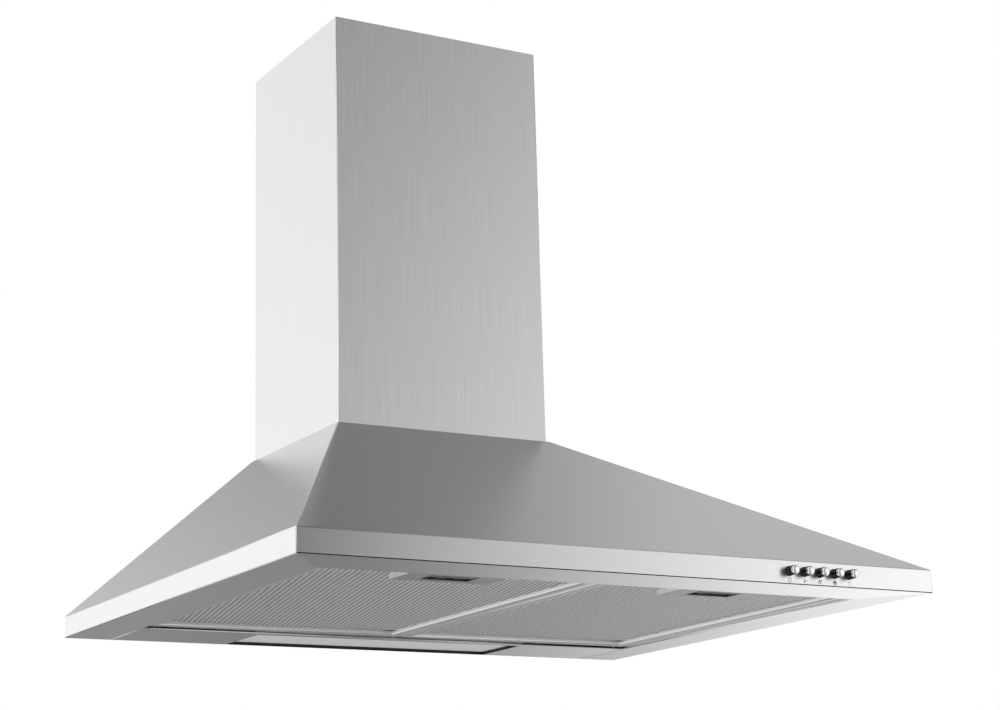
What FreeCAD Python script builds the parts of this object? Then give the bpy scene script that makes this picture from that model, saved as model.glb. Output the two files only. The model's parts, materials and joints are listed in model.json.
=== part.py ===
import FreeCAD, Part
import Sketcher
import math
import os
import re

# Chimney range hood, 60 cm wide, hung on a wall. Millimetres.
# X runs to the right, the wall is the plane y = 0, the front is towards -Y, Z is up.
# The origin lies on the wall at the middle of the hood's bottom edge.

SIZES = {
    # canopy: one folded sheet with a rim, four slopes and a flange turned in underneath
    "hood_width": 600.0,
    "hood_depth": 510.0,
    "rim_height": 20.0,
    "canopy_height": 181.0,
    "steel": 0.8,
    "front_flange": 55.0,
    "side_flange": 44.0,
    "upstand_height": 12.0,
    # chimney: lower section on the canopy, upper section telescoped inside it
    "chimney_width": 220.0,
    "chimney_depth": 190.0,
    "chimney_length": 398.0,
    "chimney_ledge": 2.5,
    "chimney_return": 12.0,
    "upper_steel": 0.6,
    "upper_gap": 0.6,
    "upper_rise": 19.0,
    "upper_length": 376.0,
    "bracket_steel": 1.2,
    "bracket_height": 25.0,
    "bracket_half": 92.0,
    "bracket_arm": 30.0,
    "bracket_top_drop": 14.0,
    "bracket_hole_spacing": 120.0,
    "bracket_hole_radius": 2.75,
    # back panel and its holes
    "back_steel": 1.0,
    "hang_spacing": 200.0,
    "hang_height": 120.0,
    "hang_head_radius": 5.5,
    "hang_slot_width": 6.0,
    "hang_slot_rise": 12.0,
    "lock_spacing": 400.0,
    "lock_height": 50.0,
    "lock_radius": 3.0,
    "cable_hole_across": 125.0,
    "cable_above_terminal": 16.0,
    "cable_hole_radius": 6.5,
    "cable_bore_radius": 4.0,
    "grommet_lip": 1.5,
    "grommet_lip_thick": 2.0,
    "grommet_nose": 3.0,
    "grommet_nose_wall": 1.5,
    "seat_gap": 0.3,
    "close_gap": 0.1,
    # lamp strip, diffuser and the two lamps behind it
    "strip_depth": 85.0,
    "strip_flange_height": 14.0,
    "strip_ear_width": 12.0,
    "strip_hem": 5.5,
    "lamp_width": 280.0,
    "lamp_front": 75.0,
    "lamp_rear": 2.6,
    "lamp_recess": 2.8,
    "diffuser_thick": 2.0,
    "diffuser_lap": 2.2,
    "reflector_height": 44.0,
    "reflector_steel": 0.8,
    "lamp_axis_height": 23.0,
    "lamp_axis_depth": 40.0,
    "holder_half": 13.0,
    "holder_corner": 5.0,
    "holder_length": 32.0,
    "socket_depth": 24.0,
    "bulb_cap_radius": 7.0,
    "bulb_radius": 15.0,
    "bulb_length": 78.0,
    "bulb_gap": 1.0,
    # grease filters: folded frame, perforated face, mesh pack, back sheet
    "filter_centre_gap": 1.0,
    "filter_edge_gap": 0.8,
    "filter_bottom": 2.0,
    "filter_thick": 9.0,
    "frame_width": 11.0,
    "frame_wall": 1.0,
    "face_recess": 4.0,
    "face_steel": 0.8,
    "tab_width": 30.0,
    "tab_reach": 2.5,
    "tab_thick": 1.5,
    "tab_spacing": 140.0,
    "hole_size": 38.0,
    "hole_margin": 8.0,
    "hole_pitch_across": 52.0,
    "hole_pitch_along": 50.0,
    "vent_size": 40.0,
    "vent_margin": 12.0,
    "vent_pitch_across": 54.0,
    "vent_pitch_along": 72.0,
    # latch in the front edge of each filter
    "latch_width": 88.0,
    "latch_depth": 46.0,
    "latch_wall": 1.0,
    "slot_width": 44.0,
    "slot_depth": 22.0,
    "slot_from_front": 16.0,
    "slider_width": 60.0,
    "slider_length": 28.0,
    "slider_thick": 5.2,
    "slider_gap": 0.3,
    "finger_depth": 4.2,
    "finger_margin": 3.0,
    "scoop_wall": 1.5,
    "latch_travel": 5.0,
    "tongue_width": 30.0,
    "tongue_thick": 2.2,
    "tongue_reach": 4.5,
    "spring_height": 4.0,
    "spring_steel": 0.5,
    "spring_spread": 22.0,
    "spring_solid": 7.0,
    "spring_lift": 0.5,
    "spring_fold": 2.0,
    "catch_width": 36.0,
    "catch_depth": 8.0,
    # push buttons and the switch block behind the rim
    "button_edge": 90.4,
    "button_pitch": 15.6,
    "button_height": 11.0,
    "button_radius": 4.0,
    "button_cap_radius": 3.6,
    "button_cap_length": 3.0,
    "button_proud": 10.0,
    "button_travel": 3.0,
    "button_hole_gap": 0.3,
    "button_inside": 4.5,
    "rod_side": 3.6,
    "rod_length": 12.0,
    "guide_gap": 0.08,
    "block_front": 8.2,
    "block_depth": 23.0,
    "block_height": 16.0,
    "block_bottom": 3.0,
    "block_margin": 12.0,
    "post_radius": 2.5,
    "post_inset": 4.0,
    # blower: double-inlet scroll hung under a plate, its axis along Y
    "plate_steel": 1.2,
    "plate_edge": 8.0,
    "blower_depth": 120.0,
    "scroll_half_width": 40.0,
    "scroll_wall": 2.0,
    "scroll_axis_height": 103.0,
    "scroll_radius": 70.0,
    "scroll_step": 9.0,
    "outlet_width": 92.0,
    "scroll_lip": 10.0,
    "scroll_lip_thick": 2.5,
    "inlet_radius": 50.0,
    "bell_radius": 6.0,
    "impeller_radius": 63.0,
    "impeller_half_width": 32.0,
    "blade_inner_radius": 51.5,
    "blade_thick": 0.9,
    "blade_sweep": 9.0,
    "blade_count": 20.0,
    "ring_width": 4.5,
    "ring_thick": 2.0,
    "disc_thick": 2.0,
    "hub_radius": 11.0,
    "hub_half_length": 6.0,
    "shaft_radius": 4.0,
    "shaft_gap": 0.05,
    "shaft_proud": 2.0,
    "motor_radius": 34.0,
    "motor_length": 50.0,
    "motor_start": 10.0,
    "spider_ring": 3.0,
    "spider_length": 9.0,
    "arm_width": 12.0,
    "arm_thick": 2.5,
    "arm_reach": 69.0,
    "mount_circle": 62.5,
    "mount_radius": 6.0,
    "mount_height": 3.0,
    "mount_bore": 2.2,
    "capacitor_width": 28.0,
    "capacitor_depth": 34.0,
    "capacitor_length": 48.0,
    "capacitor_drop": 15.0,
    # outlet collar and its two damper flaps
    "duct_radius": 60.0,
    "collar_wall": 2.5,
    "collar_height": 48.0,
    "collar_flange": 3.0,
    "collar_flange_side": 126.0,
    "seat_lip": 3.0,
    "seat_height": 13.0,
    "flap_gap": 1.2,
    "flap_thick": 1.5,
    "knuckle_radius": 2.6,
    "spindle_radius": 1.25,
    "spindle_gap": 0.05,
    "knuckle_inner": 6.0,
    "knuckle_length": 17.6,
    "knuckle_outer": 24.4,
    # screws
    "screw_radius": 2.0,
    "screw_head_radius": 3.8,
    "screw_head_height": 2.4,
    "screw_length": 10.0,
    "outlet_screw_across": 104.0,
    "outlet_screw_along": 90.0,
    # terminal box on the back panel
    "terminal_width": 62.0,
    "terminal_height": 42.0,
    "terminal_depth": 26.0,
    "terminal_across": 142.0,
    "terminal_bottom": 66.0,
    "terminal_wall": 2.0,
    "terminal_lid": 2.0,
}

doc = FreeCAD.newDocument("range_hood")
sheet = doc.addObject("Spreadsheet::Sheet", "Sizes")
for row, (name, value) in enumerate(SIZES.items(), start=1):
    sheet.set(f"A{row}", name)
    sheet.set(f"B{row}", str(value))
    sheet.setAlias(f"B{row}", name)
doc.recompute()

PLANES = {"top": "XY_Plane", "front": "XZ_Plane", "side": "YZ_Plane"}
TO_FRONT = ((1, 0, 0), 90)
nodes = []
cuts = []


def size(name):
    """A size read back from the sheet."""
    return float(sheet.get(name))


def formula(words):
    """Puts the sheet's name before each size in a formula."""
    return re.sub(r"[a-z_]\w*", lambda word: "Sizes." + word[0] if word[0] in SIZES else word[0], words)


def bind(piece, prop, words):
    piece.setExpression(prop, formula(words))


def new_body(label, x="0", y="0", z="0", rotation=None, kept=True):
    """A body at a place; a kept one is a sub-part. The rotation is an axis and an angle."""
    body = doc.addObject("PartDesign::Body", label)
    body.Label = label
    if rotation:
        axis, angle = rotation
        body.Placement = FreeCAD.Placement(FreeCAD.Vector(), FreeCAD.Rotation(FreeCAD.Vector(*axis), angle))
    for letter, words in (("x", x), ("y", y), ("z", z)):
        if words != "0":
            bind(body, f"Placement.Base.{letter}", words)
    if kept:
        nodes.append(body)
    return body


def new_sketch(body, plane, start="0"):
    """A sketch on the body's own plane, moved along that plane's normal by start."""
    sketch = body.newObject("Sketcher::SketchObject", "outline")
    support = [part for part in body.Origin.OriginFeatures if part.Role == PLANES[plane]][0]
    sketch.AttachmentSupport = [(support, "")]
    sketch.MapMode = "FlatFace"
    bind(sketch, "AttachmentOffset.Base.z", start)
    return sketch


def pin_point(sketch, element, point, place, rough):
    """Ties one point of a sketch to a pair of formulas."""
    for kind, words, first_guess in zip(("DistanceX", "DistanceY"), place, rough):
        index = sketch.addConstraint(Sketcher.Constraint(kind, -1, 1, element, point, first_guess))
        bind(sketch, f"Constraints[{index}]", words)


def draw(sketch, outline):
    """Draws a circle (x, y, radius) or a closed outline of corners."""
    first = sketch.GeometryCount
    if isinstance(outline, tuple):
        sketch.addGeometry(Part.Circle(FreeCAD.Vector(1, 1, 0), FreeCAD.Vector(0, 0, 1), 1), False)
        pin_point(sketch, first, 3, outline[:2], (1.0, 1.0))
        index = sketch.addConstraint(Sketcher.Constraint("Radius", first, 1.0))
        bind(sketch, f"Constraints[{index}]", outline[2])
        return
    count = len(outline)
    angles = [2 * math.pi * index / count for index in range(count)]
    rough = [FreeCAD.Vector(math.cos(angle), math.sin(angle), 0) for angle in angles]
    for index in range(count):
        sketch.addGeometry(Part.LineSegment(rough[index], rough[(index + 1) % count]), False)
    for index in range(count):
        following = first + (index + 1) % count
        sketch.addConstraint(Sketcher.Constraint("Coincident", first + index, 2, following, 1))
        pin_point(sketch, first + index, 1, outline[index], rough[index])


def box(left, low, right, high):
    """The four corners of a rectangle."""
    return [(left, low), (right, low), (right, high), (left, high)]


def many_sided(radius, count):
    """A regular outline, used where a true circle isn't needed."""
    turns = [360 * side / count for side in range(count)]
    return [(f"({radius}) * cos({turn})", f"({radius}) * sin({turn})") for turn in turns]


def add(body, plane, outlines, start, length):
    """Pads outlines from start along the plane's normal."""
    sketch = new_sketch(body, plane, start)
    for outline in outlines:
        draw(sketch, outline)
    pad = body.newObject("PartDesign::Pad", "pad")
    pad.Profile = (sketch, [""])
    bind(pad, "Length", length)
    return pad


def cut(body, plane, outlines, start, length):
    """Cuts outlines away from start along the plane's normal."""
    sketch = new_sketch(body, plane, start)
    for outline in outlines:
        draw(sketch, outline)
    pocket = body.newObject("PartDesign::Pocket", "pocket")
    pocket.Profile = (sketch, [""])
    pocket.Reversed = True
    bind(pocket, "Length", length)
    cuts.append(pocket)
    return pocket


def combine(body, kind, other):
    """Keeps what two bodies share (Common) or takes the other one away (Cut)."""
    boolean = body.newObject("PartDesign::Boolean", "combined")
    boolean.Type = kind
    boolean.setObjects([other])
    return boolean


def revolve(body, profile):
    """Turns a closed profile of (radius, height) corners about the body's own Z axis."""
    sketch = new_sketch(body, "front")
    draw(sketch, profile)
    revolution = body.newObject("PartDesign::Revolution", "turned")
    revolution.Profile = (sketch, [""])
    revolution.ReferenceAxis = (sketch, ["V_Axis"])
    revolution.Angle = 360
    return revolution


def disc(radius, low, thick, sides):
    """A flat disc about Z whose edge has many small flats."""
    turns = [math.radians(360 * side / sides) for side in range(sides + 1)]
    corners = [FreeCAD.Vector(radius * math.cos(turn), radius * math.sin(turn), low) for turn in turns]
    return Part.Face(Part.makePolygon(corners)).extrude(FreeCAD.Vector(0, 0, thick))


def shape_node(label, shape, place=None):
    """A sub-part whose solid is worked out in code."""
    feature = doc.addObject("Part::Feature", label)
    feature.Label = label
    feature.Shape = shape
    if place:
        feature.Placement = place
    nodes.append(feature)
    return feature


# Canopy: a folded sheet of brushed stainless steel, open at the wall. The rim is its upright edge.
half = "hood_width / 2"
slope_half = "(chimney_width / 2 + chimney_ledge)"
slope_depth = "(chimney_depth + chimney_ledge)"
rise = "(canopy_height - rim_height)"
side_run = f"({half} - {slope_half})"
side_steel = f"(steel * sqrt({rise}^2 + {side_run}^2) / {rise})"
front_run = f"(hood_depth - {slope_depth})"
front_steel = f"(steel * sqrt({rise}^2 + {front_run}^2) / {rise})"
flange_half = f"({half} - side_flange)"
flange_front = "(hood_depth - front_flange)"
inner_half = "(chimney_width / 2 - steel)"
inner_depth = "(chimney_depth - steel)"
upstand_half = f"({inner_half} - seat_gap)"
upstand_depth = f"({inner_depth} - seat_gap)"
top_z = "canopy_height"


def roof(
    label, floor, low_half, low_front, side_fold, front_fold, ceiling, top_half, top_front, rear, kept=True
):
    """An upright rim under three flat slopes: a front view and a side view, kept where they meet."""
    front_view = [
        (f"-{low_half}", floor),
        (low_half, floor),
        (low_half, side_fold),
        (top_half, ceiling),
        (f"-{top_half}", ceiling),
        (f"-{low_half}", side_fold),
    ]
    side_view = [
        (f"-{low_front}", floor),
        (rear, floor),
        (rear, ceiling),
        (f"-{top_front}", ceiling),
        (f"-{low_front}", front_fold),
    ]
    body = new_body(label, kept=kept)
    add(body, "front", [front_view], f"-({rear})", f"{low_front} + {rear}")
    slopes = new_body(f"{label}_slopes", kept=False)
    add(slopes, "side", [side_view], f"-{low_half}", f"2 * {low_half}")
    combine(body, "Common", slopes)
    return body


fold = "rim_height"
canopy = roof("canopy_shell", "0", half, "hood_depth", fold, fold, top_z, slope_half, slope_depth, "0")
upstand = box(f"-{upstand_half}", f"-{upstand_depth}", upstand_half, "-(steel + seat_gap)")
add(canopy, "top", [upstand], top_z, "upstand_height")
hollow = roof(
    "canopy_hollow",
    "steel",
    f"({half} - steel)",
    "(hood_depth - steel)",
    f"({fold} - ({side_steel} - steel) * {rise} / {side_run})",
    f"({fold} - ({front_steel} - steel) * {rise} / {front_run})",
    f"({top_z} - steel)",
    f"({slope_half} + steel * {side_run} / {rise} - {side_steel})",
    f"({slope_depth} + steel * {front_run} / {rise} - {front_steel})",
    "steel",
    kept=False,
)
combine(canopy, "Cut", hollow)
flange_opening = box(f"-{flange_half}", f"-{flange_front}", flange_half, "steel")
cut(canopy, "top", [flange_opening], "-steel", "3 * steel")
throat_half = f"({upstand_half} - steel)"
throat = box(f"-{throat_half}", f"-({upstand_depth} - steel)", throat_half, "steel")
cut(canopy, "top", [throat], f"{top_z} - 2 * steel", "upstand_height + 3 * steel")
button_hole_radius = "button_radius + button_hole_gap"
button_places = [f"(hood_width / 2 - button_edge - {4 - index} * button_pitch)" for index in range(5)]
button_holes = [(place, "button_height", button_hole_radius) for place in button_places]
cut(canopy, "front", button_holes, "hood_depth - 2 * steel", "3 * steel")

# Back panel: a galvanised sheet between the canopy's sides, with keyholes for the wall screws.
panel_low = f"({half} - steel - seat_gap)"
panel_top = "(chimney_width / 2 - chimney_return - seat_gap)"
panel_slope = f"({slope_half} - steel - seat_gap)"
panel_shoulder = f"({top_z} - steel - seat_gap)"
panel_low_slope = f"({half} - {side_steel} - seat_gap)"
panel_right = [
    (flange_half, "0"),
    (flange_half, "steel"),
    (panel_low, "steel"),
    (panel_low, "rim_height - steel"),
    (panel_low_slope, "rim_height"),
    (panel_slope, panel_shoulder),
    (panel_top, panel_shoulder),
    (panel_top, f"{top_z} + upstand_height"),
]
panel_left = [(f"-({x})", z) for x, z in reversed(panel_right)]
back = new_body("back_panel")
add(back, "front", [panel_right + panel_left], "0", "back_steel")
hang_half = "hang_spacing / 2"
hang_heads = [(x, "hang_height", "hang_head_radius") for x in (f"-{hang_half}", hang_half)]
cut(back, "front", hang_heads, "-back_steel", "3 * back_steel")
slot_half = "hang_slot_width / 2"
slot_top = "hang_height + hang_slot_rise"
hang_slots = [
    box(f"{x} - {slot_half}", "hang_height", f"{x} + {slot_half}", slot_top)
    for x in (f"-{hang_half}", hang_half)
]
cut(back, "front", hang_slots, "-back_steel", "3 * back_steel")
lock_holes = [(f"{side}lock_spacing / 2", "lock_height", "lock_radius") for side in ("-", "")]
cut(back, "front", lock_holes, "-back_steel", "3 * back_steel")
cable_hole_height = "(terminal_bottom + terminal_height + cable_above_terminal)"
cable_hole = ("-cable_hole_across", cable_hole_height, "cable_hole_radius")
cut(back, "front", [cable_hole], "-back_steel", "3 * back_steel")

# Cable grommet: a rubber ring sprung into the hole of the back panel.
lip_radius = "(cable_hole_radius + grommet_lip)"
lip_end = "(back_steel + grommet_lip_thick)"
nose_radius = "(cable_bore_radius + grommet_nose_wall)"
grommet = new_body("cable_grommet", x="-cable_hole_across", z=cable_hole_height, rotation=TO_FRONT)
add(grommet, "top", [many_sided("cable_hole_radius", 16)], "0", "back_steel")
add(grommet, "top", [many_sided(lip_radius, 16)], "back_steel", "grommet_lip_thick")
add(grommet, "top", [many_sided(nose_radius, 16)], lip_end, "grommet_nose")
cut(grommet, "top", [("0", "0", "cable_bore_radius")], "-1", f"{lip_end} + grommet_nose + 2")

# Terminal box: a moulded box for the supply wires, screwed to the back panel, with a flat lid.
terminal_half = "terminal_width / 2"
terminal = new_body("terminal_box", x="-terminal_across", z="terminal_bottom")
terminal_outline = box(f"-{terminal_half}", "0", terminal_half, "terminal_height")
add(terminal, "front", [terminal_outline], "back_steel", "terminal_depth")
terminal_inside = box(
    f"-({terminal_half} - terminal_wall)",
    "terminal_wall",
    f"{terminal_half} - terminal_wall",
    "terminal_height - terminal_wall",
)
cut(terminal, "front", [terminal_inside], "back_steel + terminal_wall", "terminal_depth")
lid = new_body("terminal_lid", x="-terminal_across", z="terminal_bottom")
add(lid, "front", [terminal_outline], "back_steel + terminal_depth", "terminal_lid")

# Lamp strip: the steel sheet under the wall side, between the side flanges.
lamp_half = "lamp_width / 2"
strip_front = "strip_depth"
strip = new_body("lamp_strip")
strip_sheet = box(f"-{flange_half}", f"-{strip_front}", flange_half, "-back_steel")
add(strip, "top", [strip_sheet], "0", "steel")
ear_inner = f"({flange_half} - strip_ear_width)"
ear_outer = f"({flange_half} + strip_ear_width)"
ear_rear = "-strip_ear_width"
ear_front = "-(strip_depth - strip_ear_width)"
left_ear = box(f"-{ear_outer}", ear_front, f"-{ear_inner}", ear_rear)
right_ear = box(ear_inner, ear_front, ear_outer, ear_rear)
add(strip, "top", [left_ear, right_ear], "steel", "steel")
hem = box(f"-{ear_inner}", f"-{strip_front}", ear_inner, f"-({strip_front} - strip_hem)")
add(strip, "top", [hem], "steel", "steel")
rear_flange = box(f"-({flange_half} - 1)", "-(back_steel + steel)", f"{flange_half} - 1", "-back_steel")
add(strip, "top", [rear_flange], "steel", "strip_flange_height")
lamp_lip = box(f"-({lamp_half} + steel)", "-(lamp_front + steel)", f"{lamp_half} + steel", "-back_steel")
add(strip, "top", [lamp_lip], "steel", "lamp_recess - steel")
lamp_opening = box(f"-{lamp_half}", "-lamp_front", lamp_half, "-lamp_rear")
cut(strip, "top", [lamp_opening], "-steel", "lamp_recess + 2 * steel")

# Diffuser: a frosted plastic sheet lying on the folded lip of the strip's opening.
diffuser = new_body("lamp_diffuser")
diffuser_half = f"({lamp_half} + diffuser_lap)"
diffuser_rear = "(back_steel + steel + close_gap)"
diffuser_front = "(lamp_front + diffuser_lap)"
diffuser_sheet = box(f"-{diffuser_half}", f"-{diffuser_front}", diffuser_half, f"-{diffuser_rear}")
add(diffuser, "top", [diffuser_sheet], "lamp_recess", "diffuser_thick")

# Lamp reflector: a folded white box over the diffuser, open to the wall side and downwards.
reflector = new_body("lamp_reflector")
reflector_half = f"({diffuser_half} + seat_gap + reflector_steel)"
reflector_front = f"({diffuser_front} + seat_gap + reflector_steel)"
reflector_outside = box(f"-{reflector_half}", f"-{reflector_front}", reflector_half, "-(back_steel + steel)")
add(reflector, "top", [reflector_outside], "steel", "reflector_height - steel")
reflector_inside = box(
    f"-({reflector_half} - reflector_steel)",
    f"-({reflector_front} - reflector_steel)",
    f"{reflector_half} - reflector_steel",
    "0",
)
cut(reflector, "top", [reflector_inside], "0", "reflector_height - reflector_steel")

# Lamp holders: a moulded block with a round socket at each end of the reflector, and a bulb in each.
holder_start = f"({reflector_half} - reflector_steel)"
holder_cut = "(holder_half - holder_corner)"
holder_right = [("holder_half", f"-{holder_cut}"), ("holder_half", holder_cut), (holder_cut, "holder_half")]
holder_section = holder_right + [(f"-{x}", y) for x, y in reversed(holder_right)]
holder_section.extend([(f"-{holder_cut}", "-holder_half"), (holder_cut, "-holder_half")])
socket_floor = "(holder_length - socket_depth)"
bulb_foot = f"({socket_floor} + seat_gap)"
bulb_neck = "(holder_length + bulb_gap)"
bulb_end = "(holder_length + bulb_length)"
for name, side, angle in (("left", "-", 90), ("right", "", -90)):
    lamp_place = {
        "x": f"{side}{holder_start}",
        "y": "-lamp_axis_depth",
        "z": "lamp_axis_height",
        "rotation": ((0, 1, 0), angle),
    }
    holder = new_body(f"lamp_holder_{name}", **lamp_place)
    add(holder, "top", [holder_section], "0", "holder_length")
    cut(holder, "top", [many_sided("bulb_cap_radius + seat_gap", 12)], socket_floor, "2 * socket_depth")
    bulb = new_body(f"lamp_bulb_{name}", **lamp_place)
    add(bulb, "top", [many_sided("bulb_cap_radius", 12)], bulb_foot, f"{bulb_neck} - {bulb_foot}")
    add(bulb, "top", [many_sided("bulb_radius", 24)], bulb_neck, f"{bulb_end} - {bulb_neck}")


# Chimney, lower section: a folded channel that stands on the canopy's ledge, open at the wall.
def channel(half_width, depth, rear, wall, return_width):
    """The outline of a channel with return flanges at the rear, seen from above."""
    lip = f"({half_width} - {return_width})"
    right = [
        (lip, f"-{rear}"),
        (half_width, f"-{rear}"),
        (half_width, f"-{depth}"),
    ]
    left = [(f"-({x})", y) for x, y in reversed(right)]
    inner_left = [
        (f"-{lip}", f"-({rear} + {wall})"),
        (f"-({half_width} - {wall})", f"-({rear} + {wall})"),
        (f"-({half_width} - {wall})", f"-({depth} - {wall})"),
    ]
    inner_right = [(x[1:], y) for x, y in reversed(inner_left)]
    return right + left + inner_left + inner_right


chimney = new_body("chimney_lower")
lower_channel = channel("(chimney_width / 2)", "chimney_depth", "0", "steel", "chimney_return")
add(chimney, "top", [lower_channel], top_z, "chimney_length")

# Chimney, upper section: slides out of the lower one, up to the ceiling.
upper_half = f"({inner_half} - upper_gap)"
upper_depth = f"({inner_depth} - upper_gap)"
upper_rear = "(steel + upper_gap)"
upper = new_body("chimney_upper")
upper_channel = channel(upper_half, upper_depth, upper_rear, "upper_steel", "chimney_return")
upper_bottom = f"({top_z} + upper_rise)"
add(upper, "top", [upper_channel], upper_bottom, "upper_length")

# Chimney bracket: a folded strip inside the upper section, screwed to the wall near the ceiling.
arm_half = f"({upper_half} - upper_steel - close_gap)"
arm_rear = f"({upper_rear} + upper_steel + close_gap)"
bracket_outline_right = [
    ("bracket_half", "0"),
    ("bracket_half", f"-{arm_rear}"),
    (arm_half, f"-{arm_rear}"),
    (arm_half, "-bracket_arm"),
    (f"{arm_half} - bracket_steel", "-bracket_arm"),
    (f"{arm_half} - bracket_steel", f"-({arm_rear} + bracket_steel)"),
    ("bracket_half - bracket_steel", f"-({arm_rear} + bracket_steel)"),
    ("bracket_half - bracket_steel", "-bracket_steel"),
]
bracket_outline_left = [(f"-({x})", y) for x, y in reversed(bracket_outline_right)]
bracket_bottom = f"{upper_bottom} + upper_length - bracket_top_drop - bracket_height"
bracket = new_body("chimney_bracket", z=bracket_bottom)
add(bracket, "top", [bracket_outline_right + bracket_outline_left], "0", "bracket_height")
bracket_holes = [
    ("-bracket_hole_spacing / 2", "bracket_height / 2", "bracket_hole_radius"),
    ("bracket_hole_spacing / 2", "bracket_height / 2", "bracket_hole_radius"),
]
cut(bracket, "front", bracket_holes, "-bracket_steel", "3 * bracket_steel")

# Blower plate: a tray across the top of the canopy that carries the blower and the collar.
plate_half = f"({upstand_half} - steel - close_gap)"
plate_front = f"({upstand_depth} - steel - close_gap)"
plate_rear = "(back_steel + close_gap)"
plate = new_body("blower_plate")
plate_outline = box(f"-{plate_half}", f"-{plate_front}", plate_half, f"-{plate_rear}")
add(plate, "top", [plate_outline], top_z, "plate_steel + plate_edge")
plate_inside = box(
    f"-({plate_half} - plate_steel)",
    f"-({plate_front} - plate_steel)",
    f"{plate_half} - plate_steel",
    f"-({plate_rear} + plate_steel)",
)
cut(plate, "top", [plate_inside], f"{top_z} + plate_steel", "plate_edge + 1")
outlet_half = "(outlet_width / 2)"
mouth_half = "(scroll_half_width - scroll_wall)"
mouth_front = f"-(blower_depth + {mouth_half})"
mouth_rear = f"-(blower_depth - {mouth_half})"
mouth = box(f"-{outlet_half}", mouth_front, outlet_half, mouth_rear)
cut(plate, "top", [mouth], f"{top_z} - 1", "plate_steel + 2")
screw_hole = many_sided("(screw_radius + close_gap) / cos(22.5)", 8)
plate_holes = [
    [
        (f"{side} * outlet_screw_across / 2 + {x}", f"{end} * outlet_screw_along / 2 - blower_depth + {y}")
        for x, y in screw_hole
    ]
    for side in (-1, 1)
    for end in (-1, 1)
]
cut(plate, "top", plate_holes, f"{top_z} - 1", "plate_steel + 2")


# Scroll: two moulded halves that meet at the middle of the blower, each with a rounded inlet.
def scroll_across():
    """How far the blower's axis lies to the right, so that the scroll's neck is centred."""
    return size("scroll_radius") + 3 * size("scroll_step") - size("outlet_width") / 2


def scroll_outline(grow):
    """The scroll's section in X and Z: quarter arcs that widen step by step, then a straight neck."""
    radius = size("scroll_radius") + grow
    step = size("scroll_step")
    across = scroll_across()
    height = size("scroll_axis_height")
    top = size("canopy_height")
    neck_right = size("outlet_width") / 2 + grow
    neck_left = -neck_right

    def point(x, z):
        return FreeCAD.Vector(x, 0, z)

    def on_arc(centre_x, centre_z, reach, degrees):
        angle = math.radians(degrees)
        return point(centre_x + reach * math.cos(angle), centre_z + reach * math.sin(angle))

    def quarter(centre_x, centre_z, reach, first_angle):
        places = [first_angle, first_angle - 45, first_angle - 90]
        return Part.Arc(*[on_arc(centre_x, centre_z, reach, angle) for angle in places])

    wide = [radius, radius + step, radius + 2 * step]
    left = across - step - wide[2]
    top_angle = math.degrees(math.acos((neck_right - across) / radius))
    middle_angle = (top_angle + 90) / 2
    entry = [on_arc(across, height, radius, angle) for angle in (top_angle, middle_angle, 90)]
    edges = [
        Part.Arc(*entry),
        quarter(across, height, wide[0], 90),
        quarter(across - step, height, wide[1], 0),
        quarter(across - step, height + step, wide[2], -90),
        Part.LineSegment(point(left, height + step), point(neck_left, top)),
        Part.LineSegment(point(neck_left, top), point(neck_right, top)),
        Part.LineSegment(point(neck_right, top), entry[0]),
    ]
    return Part.Wire([edge.toShape() for edge in edges])


def scroll_half(direction):
    """One half of the scroll; direction is -1 for the front half and 1 for the rear half."""
    depth = size("scroll_half_width")
    wall = size("scroll_wall")
    across = scroll_across()
    height = size("scroll_axis_height")
    top = size("canopy_height")
    middle = -size("blower_depth")
    along = FreeCAD.Vector(0, direction, 0)
    outer = Part.Face(scroll_outline(wall)).extrude(along * depth)
    lip = size("scroll_lip")
    half_mouth = size("outlet_width") / 2 + lip
    lip_thick = size("scroll_lip_thick")
    lip_box = Part.makeBox(2 * half_mouth, depth + lip, lip_thick)
    lip_start = 0 if direction > 0 else -(depth + lip)
    lip_box.translate(FreeCAD.Vector(-half_mouth, lip_start, top - lip_thick))
    outer = outer.fuse(lip_box)
    inner = Part.Face(scroll_outline(0)).extrude(along * (depth - wall))
    outer = outer.cut(inner)
    bell = size("bell_radius")
    inlet = size("inlet_radius")
    axis_at = FreeCAD.Vector(across, direction * depth, height)
    hole = Part.makeCylinder(inlet + bell, 3 * wall, axis_at - along * (2 * wall), along)
    outer = outer.cut(hole)

    def ring_point(radius, inward):
        return FreeCAD.Vector(across + radius, direction * (depth - inward), height)

    slanted = [(inlet + bell, 0), (inlet, bell), (inlet + wall, bell), (inlet + bell, wall)]
    corners = [ring_point(*corner) for corner in slanted]
    profile = Part.makePolygon(corners + corners[:1])
    lip_ring = Part.Face(profile).revolve(FreeCAD.Vector(across, 0, height), FreeCAD.Vector(0, 1, 0), 360)
    outer = outer.fuse(lip_ring)
    hole_corner = (size("screw_radius") + size("close_gap")) / math.cos(math.pi / 8)
    for x in (-1, 1):
        for y in (-1, 1):
            place = FreeCAD.Vector(
                x * size("outlet_screw_across") / 2,
                y * size("outlet_screw_along") / 2,
                top - 2 * lip_thick,
            )
            drill = disc(hole_corner, 0, 3 * lip_thick, 8)
            drill.translate(place)
            outer = outer.cut(drill)
    outer.translate(FreeCAD.Vector(0, middle, 0))
    return outer.removeSplitter()


shape_node("scroll_front", scroll_half(-1))
shape_node("scroll_rear", scroll_half(1))

# Impeller: a squirrel cage of forward-curved blades on a middle disc, with a ring at each end.
blower_x = "(scroll_radius + 3 * scroll_step - outlet_width / 2)"
blower_y = "-blower_depth"
blower_z = "scroll_axis_height"


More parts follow.
